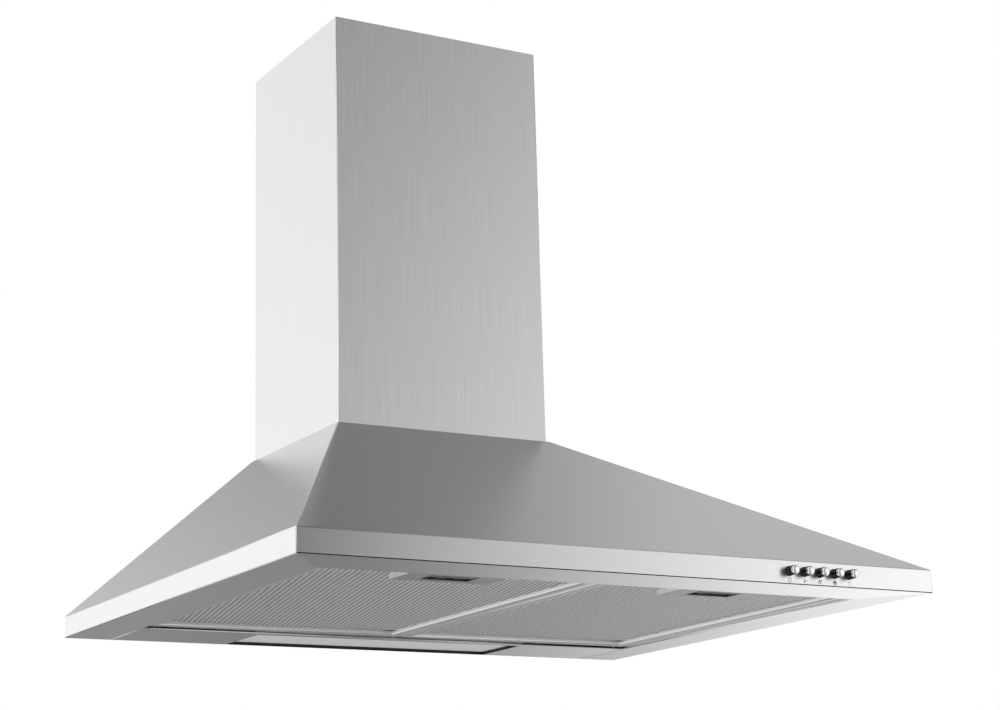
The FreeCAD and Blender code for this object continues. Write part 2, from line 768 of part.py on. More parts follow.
def impeller_solid():
    """The cage about the Z axis: each blade is bent forward, in two flats."""
    outer = size("impeller_radius")
    inner = size("blade_inner_radius")
    half_width = size("impeller_half_width")
    ring = size("ring_thick")
    half_disc = size("disc_thick") / 2
    hub = size("hub_radius")
    hub_half = size("hub_half_length")
    bore = size("shaft_radius") + size("shaft_gap")
    rim = outer - size("ring_width")
    count = round(size("blade_count"))
    sweep = size("blade_sweep")
    tip = outer - size("blade_thick") / 2
    sides = 2 * count
    solid = disc(outer, -half_disc, 2 * half_disc, sides).fuse(disc(hub, -hub_half, 2 * hub_half, 8))
    solid = solid.cut(Part.makeCylinder(bore, 4 * hub_half, FreeCAD.Vector(0, 0, -2 * hub_half)))
    lean = math.degrees(size("blade_thick") / outer)

    def on_circle(radius, degrees):
        angle = math.radians(degrees)
        return FreeCAD.Vector(radius * math.cos(angle), radius * math.sin(angle), ring - half_width)

    def flank(first_angle):
        return [
            on_circle(inner, first_angle),
            on_circle((inner + tip) / 2, first_angle + sweep * 0.3),
            on_circle(tip, first_angle + sweep),
        ]

    near, far = flank(0), flank(lean)
    section = Part.Face(Part.makePolygon(near + far[::-1] + near[:1]))
    blade = section.extrude(FreeCAD.Vector(0, 0, 2 * (half_width - ring)))
    others = []
    for index in range(count):
        copy = blade.copy()
        copy.rotate(FreeCAD.Vector(), FreeCAD.Vector(0, 0, 1), index * 360 / count)
        others.append(copy)
    for low in (-half_width, half_width - ring):
        others.append(disc(outer, low, ring, sides).cut(disc(rim, low - ring, 3 * ring, sides)))
    return solid.fuse(others).removeSplitter()


blower_place = FreeCAD.Placement(
    FreeCAD.Vector(scroll_across(), -size("blower_depth"), size("scroll_axis_height")),
    FreeCAD.Rotation(FreeCAD.Vector(*TO_FRONT[0]), TO_FRONT[1]),
)
shape_node("impeller", impeller_solid(), blower_place)

# Motor: a closed can half inside the cage; its shaft carries the impeller.
motor_end = "(motor_start + motor_length)"
motor = new_body("motor", x=blower_x, y=blower_y, z=blower_z, rotation=TO_FRONT)
motor_bore = "(shaft_radius + shaft_gap)"
revolve(motor, box(motor_bore, "motor_start", "motor_radius", motor_end))
shaft = new_body("motor_shaft", x=blower_x, y=blower_y, z=blower_z, rotation=TO_FRONT)
shaft_end = f"{motor_end} + shaft_proud"
revolve(shaft, box("0", "-(hub_half_length + shaft_proud)", "shaft_radius", shaft_end))

# Motor bracket: a clamp ring round the can with three arms that reach over the inlet.
spider_foot = "(scroll_half_width + mount_height)"
spider = new_body("motor_bracket", x=blower_x, y=blower_y, z=blower_z, rotation=TO_FRONT)
ring_outside = many_sided("motor_radius + spider_ring", 24)
ring_inside = many_sided("(motor_radius + shaft_gap) / cos(7.5)", 24)
add(spider, "top", [ring_outside, ring_inside], spider_foot, "spider_length")
arm_outline = box("-arm_width / 2", "-arm_reach", "arm_width / 2", "-(motor_radius + spider_ring / 2)")
arm = add(spider, "top", [arm_outline], spider_foot, "arm_thick")
foot_hole = [(x, f"{y} - mount_circle") for x, y in many_sided("mount_bore", 12)]
arm_hole = cut(spider, "top", [foot_hole], f"{spider_foot} - 1", "arm_thick + 2")
arms = spider.newObject("PartDesign::PolarPattern", "arms")
arms.Originals = [arm, arm_hole]
arms.Axis = (arm.Profile[0], ["N_Axis"])
arms.Angle = 360
arms.Occurrences = 3
spider.Tip = arms


def copies(solid, places):
    """One group of separate copies of a solid."""
    group = []
    for place in places:
        copy = solid.copy()
        copy.translate(FreeCAD.Vector(*place))
        group.append(copy)
    return Part.makeCompound(group)


def screw(length):
    """A screw along -Z with a hexagon head that stands on z = 0."""
    head = disc(size("screw_head_radius"), 0, size("screw_head_height"), 6)
    shank = disc(size("screw_radius"), -length, length, 12)
    return head.fuse(shank).removeSplitter()


# Rubber mounts under the bracket's three feet, each with its screw.
mount_turns = [math.radians(120 * index - 90) for index in range(3)]
mount_circle = size("mount_circle")
mount_start = size("scroll_half_width")
mount_places = [
    (mount_circle * math.cos(angle), mount_circle * math.sin(angle), mount_start) for angle in mount_turns
]
mount_height = size("mount_height")
mount = disc(size("mount_radius"), 0, mount_height, 12)
mount = mount.cut(disc(size("mount_bore"), -mount_height, 3 * mount_height, 12))
shape_node("motor_mounts", copies(mount, mount_places), blower_place)
foot_top = mount_height + size("arm_thick")
screw_places = [(x, y, z + foot_top) for x, y, z in mount_places]
motor_screw = screw(foot_top)
shape_node("motor_screws", copies(motor_screw, screw_places), blower_place)

# Capacitor: a moulded block that lies against the scroll's neck.
capacitor_x = "-(outlet_width / 2 + scroll_wall + capacitor_width / 2 + close_gap)"
capacitor = new_body("capacitor", x=capacitor_x, y=blower_y)
capacitor_bottom = f"{top_z} - capacitor_drop - capacitor_length"
capacitor_half = "capacitor_width / 2"
capacitor_outline = box(f"-{capacitor_half}", "-capacitor_depth / 2", capacitor_half, "capacitor_depth / 2")
add(capacitor, "top", [capacitor_outline], capacitor_bottom, "capacitor_length")

# Outlet collar: a moulded ring on the blower plate, the size of the exhaust duct.
collar_z = f"({top_z} + plate_steel)"
collar_inside = "(duct_radius - collar_wall)"
collar = new_body("outlet_collar", y=blower_y, z=collar_z)
collar_side = "collar_flange_side / 2"
collar_seat = f"({collar_inside} - seat_lip)"
collar_base = box(f"-{collar_side}", f"-{collar_side}", collar_side, collar_side)
add(collar, "top", [collar_base, ("0", "0", collar_seat)], "0", "collar_flange")
revolve(
    collar,
    [
        (collar_seat, "0"),
        ("duct_radius", "0"),
        ("duct_radius", "collar_height"),
        (collar_inside, "collar_height"),
        (collar_inside, "seat_height"),
        (collar_seat, "seat_height"),
    ],
)
spindle_height = "(seat_height + seat_gap + flap_thick / 2)"
spindle_hole = "spindle_radius + spindle_gap"
spindle_half = "(duct_radius - collar_wall / 2)"
pocket_half = f"({spindle_half} + spindle_gap)"
pocket_low = f"{spindle_height} - ({spindle_hole})"
pocket_high = f"{spindle_height} + {spindle_hole}"
spindle_pocket = box(f"-({spindle_hole})", pocket_low, spindle_hole, pocket_high)
cut(collar, "side", [spindle_pocket], f"-{pocket_half}", f"2 * {pocket_half}")
collar_holes = [[(x, f"{y} + blower_depth") for x, y in hole] for hole in plate_holes]
cut(collar, "top", collar_holes, "-1", "collar_flange + 2")

# Damper: two half-round flaps on one steel spindle; they fall shut on the collar's lip.
spindle = new_body("damper_spindle", y=blower_y, z=f"{collar_z} + {spindle_height}", rotation=((0, 1, 0), 90))
revolve(spindle, box("0", f"-{spindle_half}", "spindle_radius", spindle_half))
flap_reach = f"({collar_inside} - flap_gap)"
flap_root = "(knuckle_radius + seat_gap)"
for name, angle in (("rear", 0), ("front", 180)):
    flap = new_body(
        f"damper_flap_{name}",
        y=blower_y,
        z=f"{collar_z} + {spindle_height}",
        rotation=((0, 0, 1), angle),
    )
    add(flap, "top", [("0", "0", flap_reach)], "-flap_thick / 2", "flap_thick")
    root_cut = box("-duct_radius", "-duct_radius", "duct_radius", flap_root)
    cut(flap, "top", [root_cut], "-flap_thick", "2 * flap_thick")
    for start in ("knuckle_inner", "-(knuckle_outer + knuckle_length)"):
        web = box(start, "0", f"{start} + knuckle_length", f"{flap_root} + 1")
        add(flap, "top", [web], "-flap_thick / 2", "flap_thick")
        add(flap, "side", [many_sided("knuckle_radius", 8)], start, "knuckle_length")
    cut(flap, "side", [("0", "0", spindle_hole)], "-duct_radius", "2 * duct_radius")

# Screws through the collar's foot, the plate and the scroll's lips.
outlet_screw_x = size("outlet_screw_across") / 2
outlet_screw_y = size("outlet_screw_along") / 2
outlet_screw_z = size("canopy_height") + size("plate_steel") + size("collar_flange")
outlet_places = [
    (x * outlet_screw_x, y * outlet_screw_y - size("blower_depth"), outlet_screw_z)
    for x in (-1, 1)
    for y in (-1, 1)
]
shape_node("outlet_screws", copies(screw(size("screw_length")), outlet_places))

# Switch block: a moulded box behind the rim, with a guide bore for each push rod.
block_left = f"({button_places[0]} - block_margin)"
block_right = f"({button_places[-1]} + block_margin)"
block_face = "(hood_depth - steel - block_front)"
block = new_body("switch_block")
block_outline = box(block_left, "block_bottom", block_right, "block_bottom + block_height")
add(block, "front", [block_outline], f"{block_face} - block_depth", "block_depth")
for post_x in (f"{block_left} + post_inset", f"{block_right} - post_inset"):
    post = [(f"{post_x} + {x}", f"button_height + {z}") for x, z in many_sided("post_radius", 8)]
    add(block, "front", [post], block_face, "block_front")
guide_depth = "(rod_length + button_travel + button_inside - block_front + 1)"
guide_side = "(rod_side / 2 + guide_gap)"
guide_low = f"button_height - {guide_side}"
guide_high = f"button_height + {guide_side}"
guides = [box(f"{x} - {guide_side}", guide_low, f"{x} + {guide_side}", guide_high) for x in button_places]
cut(block, "front", guides, f"{block_face} - {guide_depth}", f"{guide_depth} + 1")

# Push buttons: a black barrel with a push rod behind it and a bright cap at its front end.
barrel_start = "(hood_depth - steel - button_inside)"
barrel_length = "(button_inside + steel + button_proud - button_cap_length)"
for index, place in enumerate(button_places, start=1):
    barrel = new_body(f"button_barrel_{index}", x=place, z="button_height")
    add(barrel, "front", [many_sided("button_radius", 24)], barrel_start, barrel_length)
    rod = box("-rod_side / 2", "-rod_side / 2", "rod_side / 2", "rod_side / 2")
    add(barrel, "front", [rod], f"{barrel_start} - rod_length", "rod_length")
    cap_y = "-(hood_depth + button_proud - button_cap_length)"
    cap = new_body(f"button_cap_{index}", x=place, y=cap_y, z="button_height", rotation=TO_FRONT)
    add(cap, "top", [many_sided("button_cap_radius", 24)], "0", "button_cap_length")

# Grease filters: the same cassette on the left and on the right, drawn about its own middle.
filter_width = f"({flange_half} - filter_edge_gap - filter_centre_gap / 2)"
filter_half = f"({filter_width} / 2)"
filter_middle = f"(filter_centre_gap / 2 + {filter_half})"
filter_rear = "(strip_depth + filter_edge_gap)"
filter_front = f"({flange_front} - filter_edge_gap)"
pack_bottom = "(filter_bottom + face_recess)"
pack_top = "(filter_bottom + filter_thick - frame_wall)"
latch_half = "latch_width / 2"


def filter_box(inset):
    """The cassette's outline, drawn in by inset on every side."""
    return box(
        f"-({filter_half} - {inset})",
        f"-({filter_front} - {inset})",
        f"{filter_half} - {inset}",
        f"-({filter_rear} + {inset})",
    )


def from_front(distance):
    """A place along Y, given as a distance behind the cassette's front face."""
    return f"-({filter_front} - ({distance}))"


latch_pocket = box(f"-{latch_half}", from_front("frame_wall"), latch_half, from_front("latch_depth"))


def grid(body, pocket, columns, pitch_across, rows, pitch_along):
    """Repeats one opening in columns along X and rows along Y."""
    pattern = body.newObject("PartDesign::LinearPattern", "grid")
    pattern.Originals = [pocket]
    pattern.Direction = (pocket.Profile[0], ["H_Axis"])
    pattern.Mode = "Spacing"
    bind(pattern, "Offset", pitch_across)
    bind(pattern, "Occurrences", columns)
    pattern.Direction2 = (pocket.Profile[0], ["V_Axis"])
    pattern.Mode2 = "Spacing"
    pattern.Reversed2 = True
    bind(pattern, "Offset2", pitch_along)
    bind(pattern, "Occurrences2", rows)
    body.Tip = pattern
    return pattern


def filter_sheet(label, x, bottom, thick, holes=None):
    """A flat sheet inside the frame, cut out round the latch; holes names its square openings."""
    body = new_body(label, x=x)
    inset = "(frame_wall + 2 * close_gap)"
    add(body, "top", [filter_box(inset)], bottom, thick)
    cut(body, "top", [latch_pocket], f"{bottom} - 1", f"{thick} + 2")
    if holes:
        opening = f"{holes}_size"
        across = f"{holes}_pitch_across"
        along = f"{holes}_pitch_along"
        edge = f"2 * (frame_width + {holes}_margin) + {opening}"
        columns = f"(floor(({filter_width} - {edge}) / {across}) + 1)"
        rows = f"(floor(({filter_front} - {filter_rear} - {edge}) / {along}) + 1)"
        left = f"(-(({columns} - 1) * {across} + {opening}) / 2)"
        rear = f"(-({filter_rear} + frame_width + {holes}_margin))"
        first = box(left, f"{rear} - {opening}", f"{left} + {opening}", rear)
        pocket = cut(body, "top", [first], f"{bottom} - 1", f"{thick} + 2")
        grid(body, pocket, columns, across, rows, along)
    return body


for name, side in (("left", "-"), ("right", "")):
    x = f"{side}{filter_middle}"

    # Frame: a folded aluminium section; its low inner edge stands proud of the perforated face.
    frame = new_body(f"filter_{name}_frame", x=x)
    add(frame, "top", [filter_box("0")], "filter_bottom", "filter_thick")
    cut(frame, "top", [filter_box("frame_width")], "filter_bottom - 1", "filter_thick + 2")
    cut(frame, "top", [filter_box("frame_wall")], pack_bottom, f"{pack_top} - {pack_bottom}")
    cut(frame, "top", [latch_pocket], "filter_bottom - 1", f"{pack_top} - filter_bottom + 1")
    tongue_half = "(tongue_width / 2)"
    tongue_low = "(filter_bottom + latch_wall + slider_gap)"
    tongue_slot = box(
        f"-({tongue_half} + slider_gap)",
        f"{tongue_low} - slider_gap",
        f"{tongue_half} + slider_gap",
        f"{tongue_low} + tongue_thick + slider_gap",
    )
    cut(frame, "front", [tongue_slot], f"{filter_front} - 2 * frame_wall", "3 * frame_wall")
    tab_rear = "-(strip_depth - tab_reach)"
    tab_root = f"-({filter_rear} + frame_wall)"
    tab_boxes = [
        box(f"({middle}) - tab_width / 2", tab_root, f"({middle}) + tab_width / 2", tab_rear)
        for middle in ("-tab_spacing / 2", "tab_spacing / 2")
    ]
    add(frame, "top", tab_boxes, "filter_bottom", "tab_thick")

    # Perforated face, mesh pack and back sheet, clamped inside the frame.
    face_top = f"({pack_bottom} + face_steel)"
    back_bottom = f"({pack_top} - face_steel)"
    filter_sheet(f"filter_{name}_face", x, pack_bottom, "face_steel", "hole")
    filter_sheet(f"filter_{name}_mesh", x, face_top, f"({back_bottom} - {face_top})")
    filter_sheet(f"filter_{name}_back", x, back_bottom, "face_steel", "vent")

    # Latch housing: a moulded plate flush with the frame, with a finger slot and a guide inside.
    housing = new_body(f"latch_{name}_housing", x=x)
    add(housing, "top", [latch_pocket], "filter_bottom", f"{pack_top} - filter_bottom")
    guide_half = "(slider_width / 2 + slider_gap)"
    guide_front = "(frame_wall + latch_wall)"
    guide_length = "(slider_gap + slider_length + latch_travel + spring_solid)"
    guide_low = "(filter_bottom + latch_wall)"
    guide_high = f"({pack_top} - latch_wall)"
    slider_space = box(
        f"-{guide_half}",
        from_front(guide_front),
        guide_half,
        from_front(f"{guide_front} + {guide_length}"),
    )
    cut(housing, "top", [slider_space], guide_low, f"{guide_high} - {guide_low}")
    finger_slot = box(
        "-slot_width / 2",
        from_front("slot_from_front"),
        "slot_width / 2",
        from_front("slot_from_front + slot_depth"),
    )
    cut(housing, "top", [finger_slot], "filter_bottom - 1", "latch_wall + 1.5")
    cut(housing, "front", [tongue_slot], f"{filter_front} - {guide_front} - 1", "latch_wall + 2")

    # Latch slider: pulled back by a fingertip, its tongue rests on a catch of the canopy.
    slider = new_body(f"latch_{name}_slider", x=x)
    slider_front = f"({guide_front} + slider_gap)"
    slider_low = f"({guide_low} + slider_gap)"
    slider_half = "slider_width / 2"
    slider_outline = box(
        f"-{slider_half}",
        from_front(slider_front),
        slider_half,
        from_front(f"{slider_front} + slider_length"),
    )
    add(slider, "top", [slider_outline], slider_low, "slider_thick")
    tongue_root = from_front(f"{slider_front} + 1")
    tongue_outline = box(f"-{tongue_half}", from_front("-tongue_reach"), tongue_half, tongue_root)
    add(slider, "top", [tongue_outline], slider_low, "tongue_thick")
    scoop = box(
        "-(slot_width / 2 - finger_margin)",
        from_front("slot_from_front + 1"),
        "slot_width / 2 - finger_margin",
        from_front(f"{slider_front} + slider_length - scoop_wall"),
    )
    cut(slider, "top", [scoop], f"{slider_low} - 1", "finger_depth + 1")

    # Latch spring: a bent steel leaf between the slider and the guide's rear wall.
    spring = new_body(f"latch_{name}_spring", x=x)
    leaf_front = f"({slider_front} + slider_length + close_gap)"
    leaf_rear = f"({guide_front} + {guide_length} - close_gap)"
    spread = "spring_spread / 2"
    leaf = [
        (f"-{spread}", from_front(leaf_rear)),
        ("-spring_fold / 2", from_front(leaf_front)),
        ("spring_fold / 2", from_front(leaf_front)),
        (spread, from_front(leaf_rear)),
        (f"{spread} - 2 * spring_steel", from_front(leaf_rear)),
        ("0", from_front(f"{leaf_front} + 2 * spring_steel")),
        (f"-({spread} - 2 * spring_steel)", from_front(leaf_rear)),
    ]
    add(spring, "top", [leaf], f"{slider_low} + spring_lift", "spring_height")

    # Catch: a steel pad on the canopy's front flange, under the latch's tongue.
    catch = new_body(f"latch_{name}_catch", x=x)
    catch_half = "catch_width / 2"
    catch_outline = box(f"-{catch_half}", f"-({flange_front} + catch_depth)", catch_half, f"-{flange_front}")
    add(catch, "top", [catch_outline], "steel", f"{slider_low} - seat_gap - steel")

doc.recompute()

problems = []
for piece in doc.Objects:
    if "Invalid" in piece.State or "Error" in piece.State:
        problems.append(f"{piece.Label}: {piece.State}")
for pocket in cuts:
    if pocket.Shape.Volume > pocket.BaseFeature.Shape.Volume - 0.001:
        problems.append(f"{pocket.getParent().Label}: {pocket.Label} cuts nothing")
for node in nodes:
    if node.Shape.isNull() or not node.Shape.isValid():
        problems.append(f"{node.Label}: its shape is not valid")
if problems:
    raise SystemExit("\n".join(problems))

os.makedirs("parts", exist_ok=True)
for node in nodes:
    node.Shape.exportStep(f"parts/{node.Label}.step")
print(len(nodes), "sub-parts")
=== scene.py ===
import json
import math

import bmesh
import bpy
from mathutils import Matrix, Vector

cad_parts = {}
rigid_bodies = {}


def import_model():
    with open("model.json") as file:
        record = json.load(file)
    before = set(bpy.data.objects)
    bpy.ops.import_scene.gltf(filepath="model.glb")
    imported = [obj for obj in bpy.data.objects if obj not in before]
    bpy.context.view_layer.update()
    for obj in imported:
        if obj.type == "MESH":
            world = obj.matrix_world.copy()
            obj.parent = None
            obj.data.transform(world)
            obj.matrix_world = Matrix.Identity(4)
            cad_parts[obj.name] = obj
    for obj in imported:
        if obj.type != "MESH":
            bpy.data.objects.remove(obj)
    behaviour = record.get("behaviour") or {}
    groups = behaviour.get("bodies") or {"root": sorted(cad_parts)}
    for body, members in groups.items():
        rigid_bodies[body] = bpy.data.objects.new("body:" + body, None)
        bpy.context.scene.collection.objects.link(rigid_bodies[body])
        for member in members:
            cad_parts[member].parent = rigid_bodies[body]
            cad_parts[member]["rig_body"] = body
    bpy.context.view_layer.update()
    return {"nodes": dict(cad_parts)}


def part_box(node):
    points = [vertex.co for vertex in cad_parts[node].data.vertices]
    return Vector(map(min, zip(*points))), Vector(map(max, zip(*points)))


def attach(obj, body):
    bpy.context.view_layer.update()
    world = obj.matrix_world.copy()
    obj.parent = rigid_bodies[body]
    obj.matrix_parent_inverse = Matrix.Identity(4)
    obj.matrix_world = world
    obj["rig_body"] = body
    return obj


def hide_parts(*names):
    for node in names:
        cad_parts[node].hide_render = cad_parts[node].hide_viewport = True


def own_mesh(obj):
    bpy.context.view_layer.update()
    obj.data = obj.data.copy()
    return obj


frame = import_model()
nodes = frame["nodes"]
MM = 0.001

# The wall panel: a galvanised steel sheet that closes the hood's back.
# It is stamped with keyholes for the wall screws, and everything else is screwed or hooked to it.


def linear(colour):
    """An sRGB hex value as the linear colour that the shaders use."""
    channels = [int(colour[place : place + 2], 16) / 255 for place in (1, 3, 5)]
    curve = [c / 12.92 if c <= 0.04045 else ((c + 0.055) / 1.055) ** 2.4 for c in channels]
    return (*curve, 1.0)


def new_material(name, **settings):
    """A material with its shader's values set, and its node tree."""
    material = bpy.data.materials.new(name)
    material.use_nodes = True
    tree = material.node_tree
    shader = tree.nodes["Principled BSDF"]
    for socket, value in settings.items():
        shader.inputs[socket.replace("_", " ")].default_value = value
    return material, tree, shader


def add_node(tree, kind, settings, links):
    """Adds a node to a tree, with its settings and with the outputs that feed its inputs."""
    node = tree.nodes.new("ShaderNode" + kind)
    for name, value in settings.items():
        if isinstance(name, int) or name in node.inputs:
            node.inputs[name].default_value = value
        else:
            setattr(node, name, value)
    for name, source in links.items():
        tree.links.new(source, node.inputs[name])
    return node


def tint(tree, shader, value, dark, light, ends=(0.0, 1.0)):
    """The shader's colour, from one tone to another with the value."""
    tone = add_node(tree, "ValToRGB", {}, {"Fac": value})
    for stop, position, colour in zip(tone.color_ramp.elements, ends, (dark, light)):
        stop.position = position
        stop.color = linear(colour)
    tree.links.new(tone.outputs["Color"], shader.inputs["Base Color"])


def roughen(tree, shader, value, least, most):
    """The shader's roughness, from least to most with the value."""
    spread = add_node(tree, "MapRange", {"To Min": least, "To Max": most}, {"Value": value})
    tree.links.new(spread.outputs["Result"], shader.inputs["Roughness"])


# Hot-dip galvanised steel: a dull zinc skin whose crystals, about 7 mm across, catch the light apart.
galvanised, tree, shader = new_material(
    "galvanised_steel", Metallic=1.0, Roughness=0.42, Base_Color=linear("#A9AEB0")
)
place = add_node(tree, "TexCoord", {}, {})
crystals = add_node(
    tree, "TexVoronoi", {"Scale": 1 / (7 * MM), "Randomness": 1.0}, {"Vector": place.outputs["Object"]}
)
tint(tree, shader, crystals.outputs["Color"], "#A1A5A8", "#B3B7B9")
roughen(tree, shader, crystals.outputs["Color"], 0.34, 0.5)


def shade_by_angle(mesh, degrees):
    """Smooth faces, with every edge sharper than the angle kept crisp."""
    work = bmesh.new()
    work.from_mesh(mesh)
    for face in work.faces:
        face.smooth = True
    for edge in work.edges:
        edge.smooth = len(edge.link_faces) == 2 and edge.calc_face_angle(0) < math.radians(degrees)
    work.to_mesh(mesh)
    work.free()


def moulded(name, radius, material):
    """The node's own solid again, with rounded corners as the mould or the press leaves them."""
    mesh = nodes[name].data.copy()
    work = bmesh.new()
    work.from_mesh(mesh)
    bmesh.ops.remove_doubles(work, verts=work.verts, dist=0.002 * MM)
    bmesh.ops.dissolve_limit(
        work,
        angle_limit=math.radians(1.0),
        verts=work.verts,
        edges=work.edges,
        use_dissolve_boundaries=False,
    )
    work.to_mesh(mesh)
    work.free()
    mesh.materials.clear()
    mesh.materials.append(material)
    shade_by_angle(mesh, 32)
    piece = bpy.data.objects.new(name + "_rounded", mesh)
    bpy.context.scene.collection.objects.link(piece)
    bevel = piece.modifiers.new("corners", "BEVEL")
    bevel.width = radius * MM
    bevel.segments = 2
    bevel.limit_method = "ANGLE"
    bevel.angle_limit = math.radians(40)
    bevel.harden_normals = True
    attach(piece, nodes[name]["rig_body"])
    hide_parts(name)
    return piece


moulded("back_panel", 0.25, galvanised)

# The cable grommet: a black rubber ring sprung into the panel's hole.
# Moulded EPDM has a soft, slightly bloomed skin and no sharp corner anywhere.


def noise(tree, size, detail=2.0):
    """Noise fixed to the piece, its features about as many millimetres across as the size."""
    place = add_node(tree, "TexCoord", {}, {})
    made = add_node(
        tree, "TexNoise", {"Scale": 1 / (size * MM), "Detail": detail}, {"Vector": place.outputs["Object"]}
    )
    return made.outputs["Fac"]


rubber, tree, shader = new_material("epdm_rubber", Roughness=0.72, Base_Color=linear("#1E1E1F"))
bloom = noise(tree, 1.5, 3.0)
tint(tree, shader, bloom, "#19191A", "#2A2A2B")
moulded("cable_grommet", 0.35, rubber)

# The terminal box: moulded in black polypropylene, with a flat lid over the supply wires.
# Its skin is spark-eroded, so it breaks the light up into a fine satin.


def emboss(tree, shader, value, strength, depth):
    """A shallow relief that follows the value, its depth in millimetres."""
    relief = add_node(tree, "Bump", {"Strength": strength, "Distance": depth * MM}, {"Height": value})
    tree.links.new(relief.outputs["Normal"], shader.inputs["Normal"])


polypropylene, tree, shader = new_material(
    "moulded_polypropylene", Roughness=0.5, Base_Color=linear("#26272A")
)
# The eroded grain is 0.1 mm wide on the real skin and is drawn at 0.6 mm so that it shows.
grain = noise(tree, 0.6)
emboss(tree, shader, grain, 0.25, 0.05)
cloud = noise(tree, 35)
tint(tree, shader, cloud, "#222326", "#2C2D30")
moulded("terminal_box", 0.8, polypropylene)
moulded("terminal_lid", 0.6, polypropylene)

# The canopy: one sheet of stainless steel, cut flat, folded along the rim and the slopes, and
# turned in underneath, where the flanges meet in a mitre at each front corner.
# Sizes are in millimetres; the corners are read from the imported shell.
SHEET = 0.8
CANOPY_BEND = 0.9
low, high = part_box("canopy_shell")
hood_half = high.x / MM
hood_front = low.y / MM
opening_low, opening_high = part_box("lamp_strip")
chimney_low, chimney_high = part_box("chimney_lower")
RIM = 20.0
LEDGE_PROUD = 2.5
LEDGE_WIDTH = 3.0
STRIP_LAP = 12.0
FRONT_FLANGE = 55.0
MITRE_GAP = 0.5
HEM = 3.0
BUTTON_HOLE = 4.3
ROUND = 40
slope_top = chimney_low.z / MM
slope_half = chimney_high.x / MM + LEDGE_PROUD
slope_front = chimney_low.y / MM - LEDGE_PROUD
flange_half = opening_high.x / MM - STRIP_LAP
flange_front = hood_front + FRONT_FLANGE

# Brushed stainless steel: satin lines from an abrasive belt, all along the sheet's length.
# They draw every reflection out across the grain. The belt leaves lines 0.05 mm apart, drawn here
# about 1 mm apart so that they show.
stainless, tree, shader = new_material(
    "brushed_stainless_steel", Metallic=1.0, Roughness=0.26, Anisotropic=0.7, Base_Color=linear("#D6D6D7")
)
place = add_node(tree, "UVMap", {"uv_map": "grain"}, {})
tangent = add_node(tree, "Tangent", {"direction_type": "UV_MAP", "uv_map": "grain"}, {})
tree.links.new(tangent.outputs["Tangent"], shader.inputs["Tangent"])
drawn = add_node(
    tree,
    "Mapping",
    {"Scale": (1 / (1.1 * MM), 1 / (90 * MM), 1.0)},
    {"Vector": place.outputs["UV"]},
)
lines = add_node(
    tree,
    "TexNoise",
    {"Scale": 1.0, "Detail": 3.0, "Roughness": 0.6},
    {"Vector": drawn.outputs["Vector"]},
)
tint(tree, shader, lines.outputs["Fac"], "#D3D3D4", "#D9D9DA", ends=(0.3, 0.7))
roughen(tree, shader, lines.outputs["Fac"], 0.23, 0.29)
emboss(tree, shader, lines.outputs["Fac"], 0.03, 0.02)


def folded(name, faces, thick, bend, material):
    """A sheet folded from flat faces: (corners, outward direction, grain direction, holes)."""
    work = bmesh.new()
    grain_map = work.loops.layers.uv.new("grain")
    for corners, outward, along, holes in faces:
        rim_of_face = [work.verts.new(Vector(corner) * MM) for corner in corners]
        if holes:
            edges = [
                work.edges.new((rim_of_face[i], rim_of_face[(i + 1) % len(rim_of_face)]))
                for i in range(len(rim_of_face))
            ]
            for hole in holes:
                ring = [work.verts.new(Vector(point) * MM) for point in hole]
                edges += [work.edges.new((ring[i], ring[(i + 1) % len(ring)])) for i in range(len(ring))]
            made = bmesh.ops.triangle_fill(work, edges=edges, use_beauty=True)["geom"]
            made = [part for part in made if isinstance(part, bmesh.types.BMFace)]
        else:
            made = [work.faces.new(rim_of_face)]
        direction = Vector(along).normalized()
        for face in made:
            face.normal_update()
            if face.normal.dot(Vector(outward)) < 0:
                face.normal_flip()
            across = face.normal.cross(direction)
            for corner in face.loops:
                corner[grain_map].uv = (corner.vert.co.dot(across), corner.vert.co.dot(direction))
    bmesh.ops.remove_doubles(work, verts=work.verts, dist=0.01 * MM)
    mesh = bpy.data.meshes.new(name)
    work.to_mesh(mesh)
    work.free()
    mesh.materials.append(material)
    shade_by_angle(mesh, 20)
    piece = bpy.data.objects.new(name, mesh)
    bpy.context.scene.collection.objects.link(piece)
    if bend:
        bevel = piece.modifiers.new("bends", "BEVEL")
        bevel.width = bend * MM
        bevel.segments = 3
        bevel.limit_method = "ANGLE"
        bevel.angle_limit = math.radians(12)
        bevel.harden_normals = True
    solid = piece.modifiers.new("sheet", "SOLIDIFY")
    solid.thickness = thick * MM
    solid.offset = -1.0
    solid.use_even_offset = True
    return piece


def circle(centre, radius, first, second, count):
    """Points round a circle that lies in the plane of two directions."""
    turns = [2 * math.pi * index / count for index in range(count)]
    return [
        tuple(
            centre[axis] + radius * (math.cos(turn) * first[axis] + math.sin(turn) * second[axis])
            for axis in range(3)
        )
        for turn in turns
    ]


button_names = [f"button_barrel_{index}" for index in range(1, 6)]
button_middles = [sum(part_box(name), Vector()) / 2 / MM for name in button_names]
button_holes = [
    circle((middle.x, hood_front, middle.z), BUTTON_HOLE, (1, 0, 0), (0, 0, 1), ROUND)
    for middle in button_middles
]
# Each fold of the sheet: half of its width, how far out it lies, and its height.
foot = (hood_half, hood_front, 0)
rim = (hood_half, hood_front, RIM)
top = (slope_half, slope_front, slope_top)
ledge = (slope_half - LEDGE_WIDTH, slope_front + LEDGE_WIDTH, slope_top)
flange = (flange_half, flange_front, 0)
hem = (flange_half, flange_front, HEM)


def front_face(near, far):
    """The corners of a face that runs from side to side between two folds."""
    return [(sign * fold[0], *fold[1:]) for fold, sign in ((near, -1), (near, 1), (far, 1), (far, -1))]


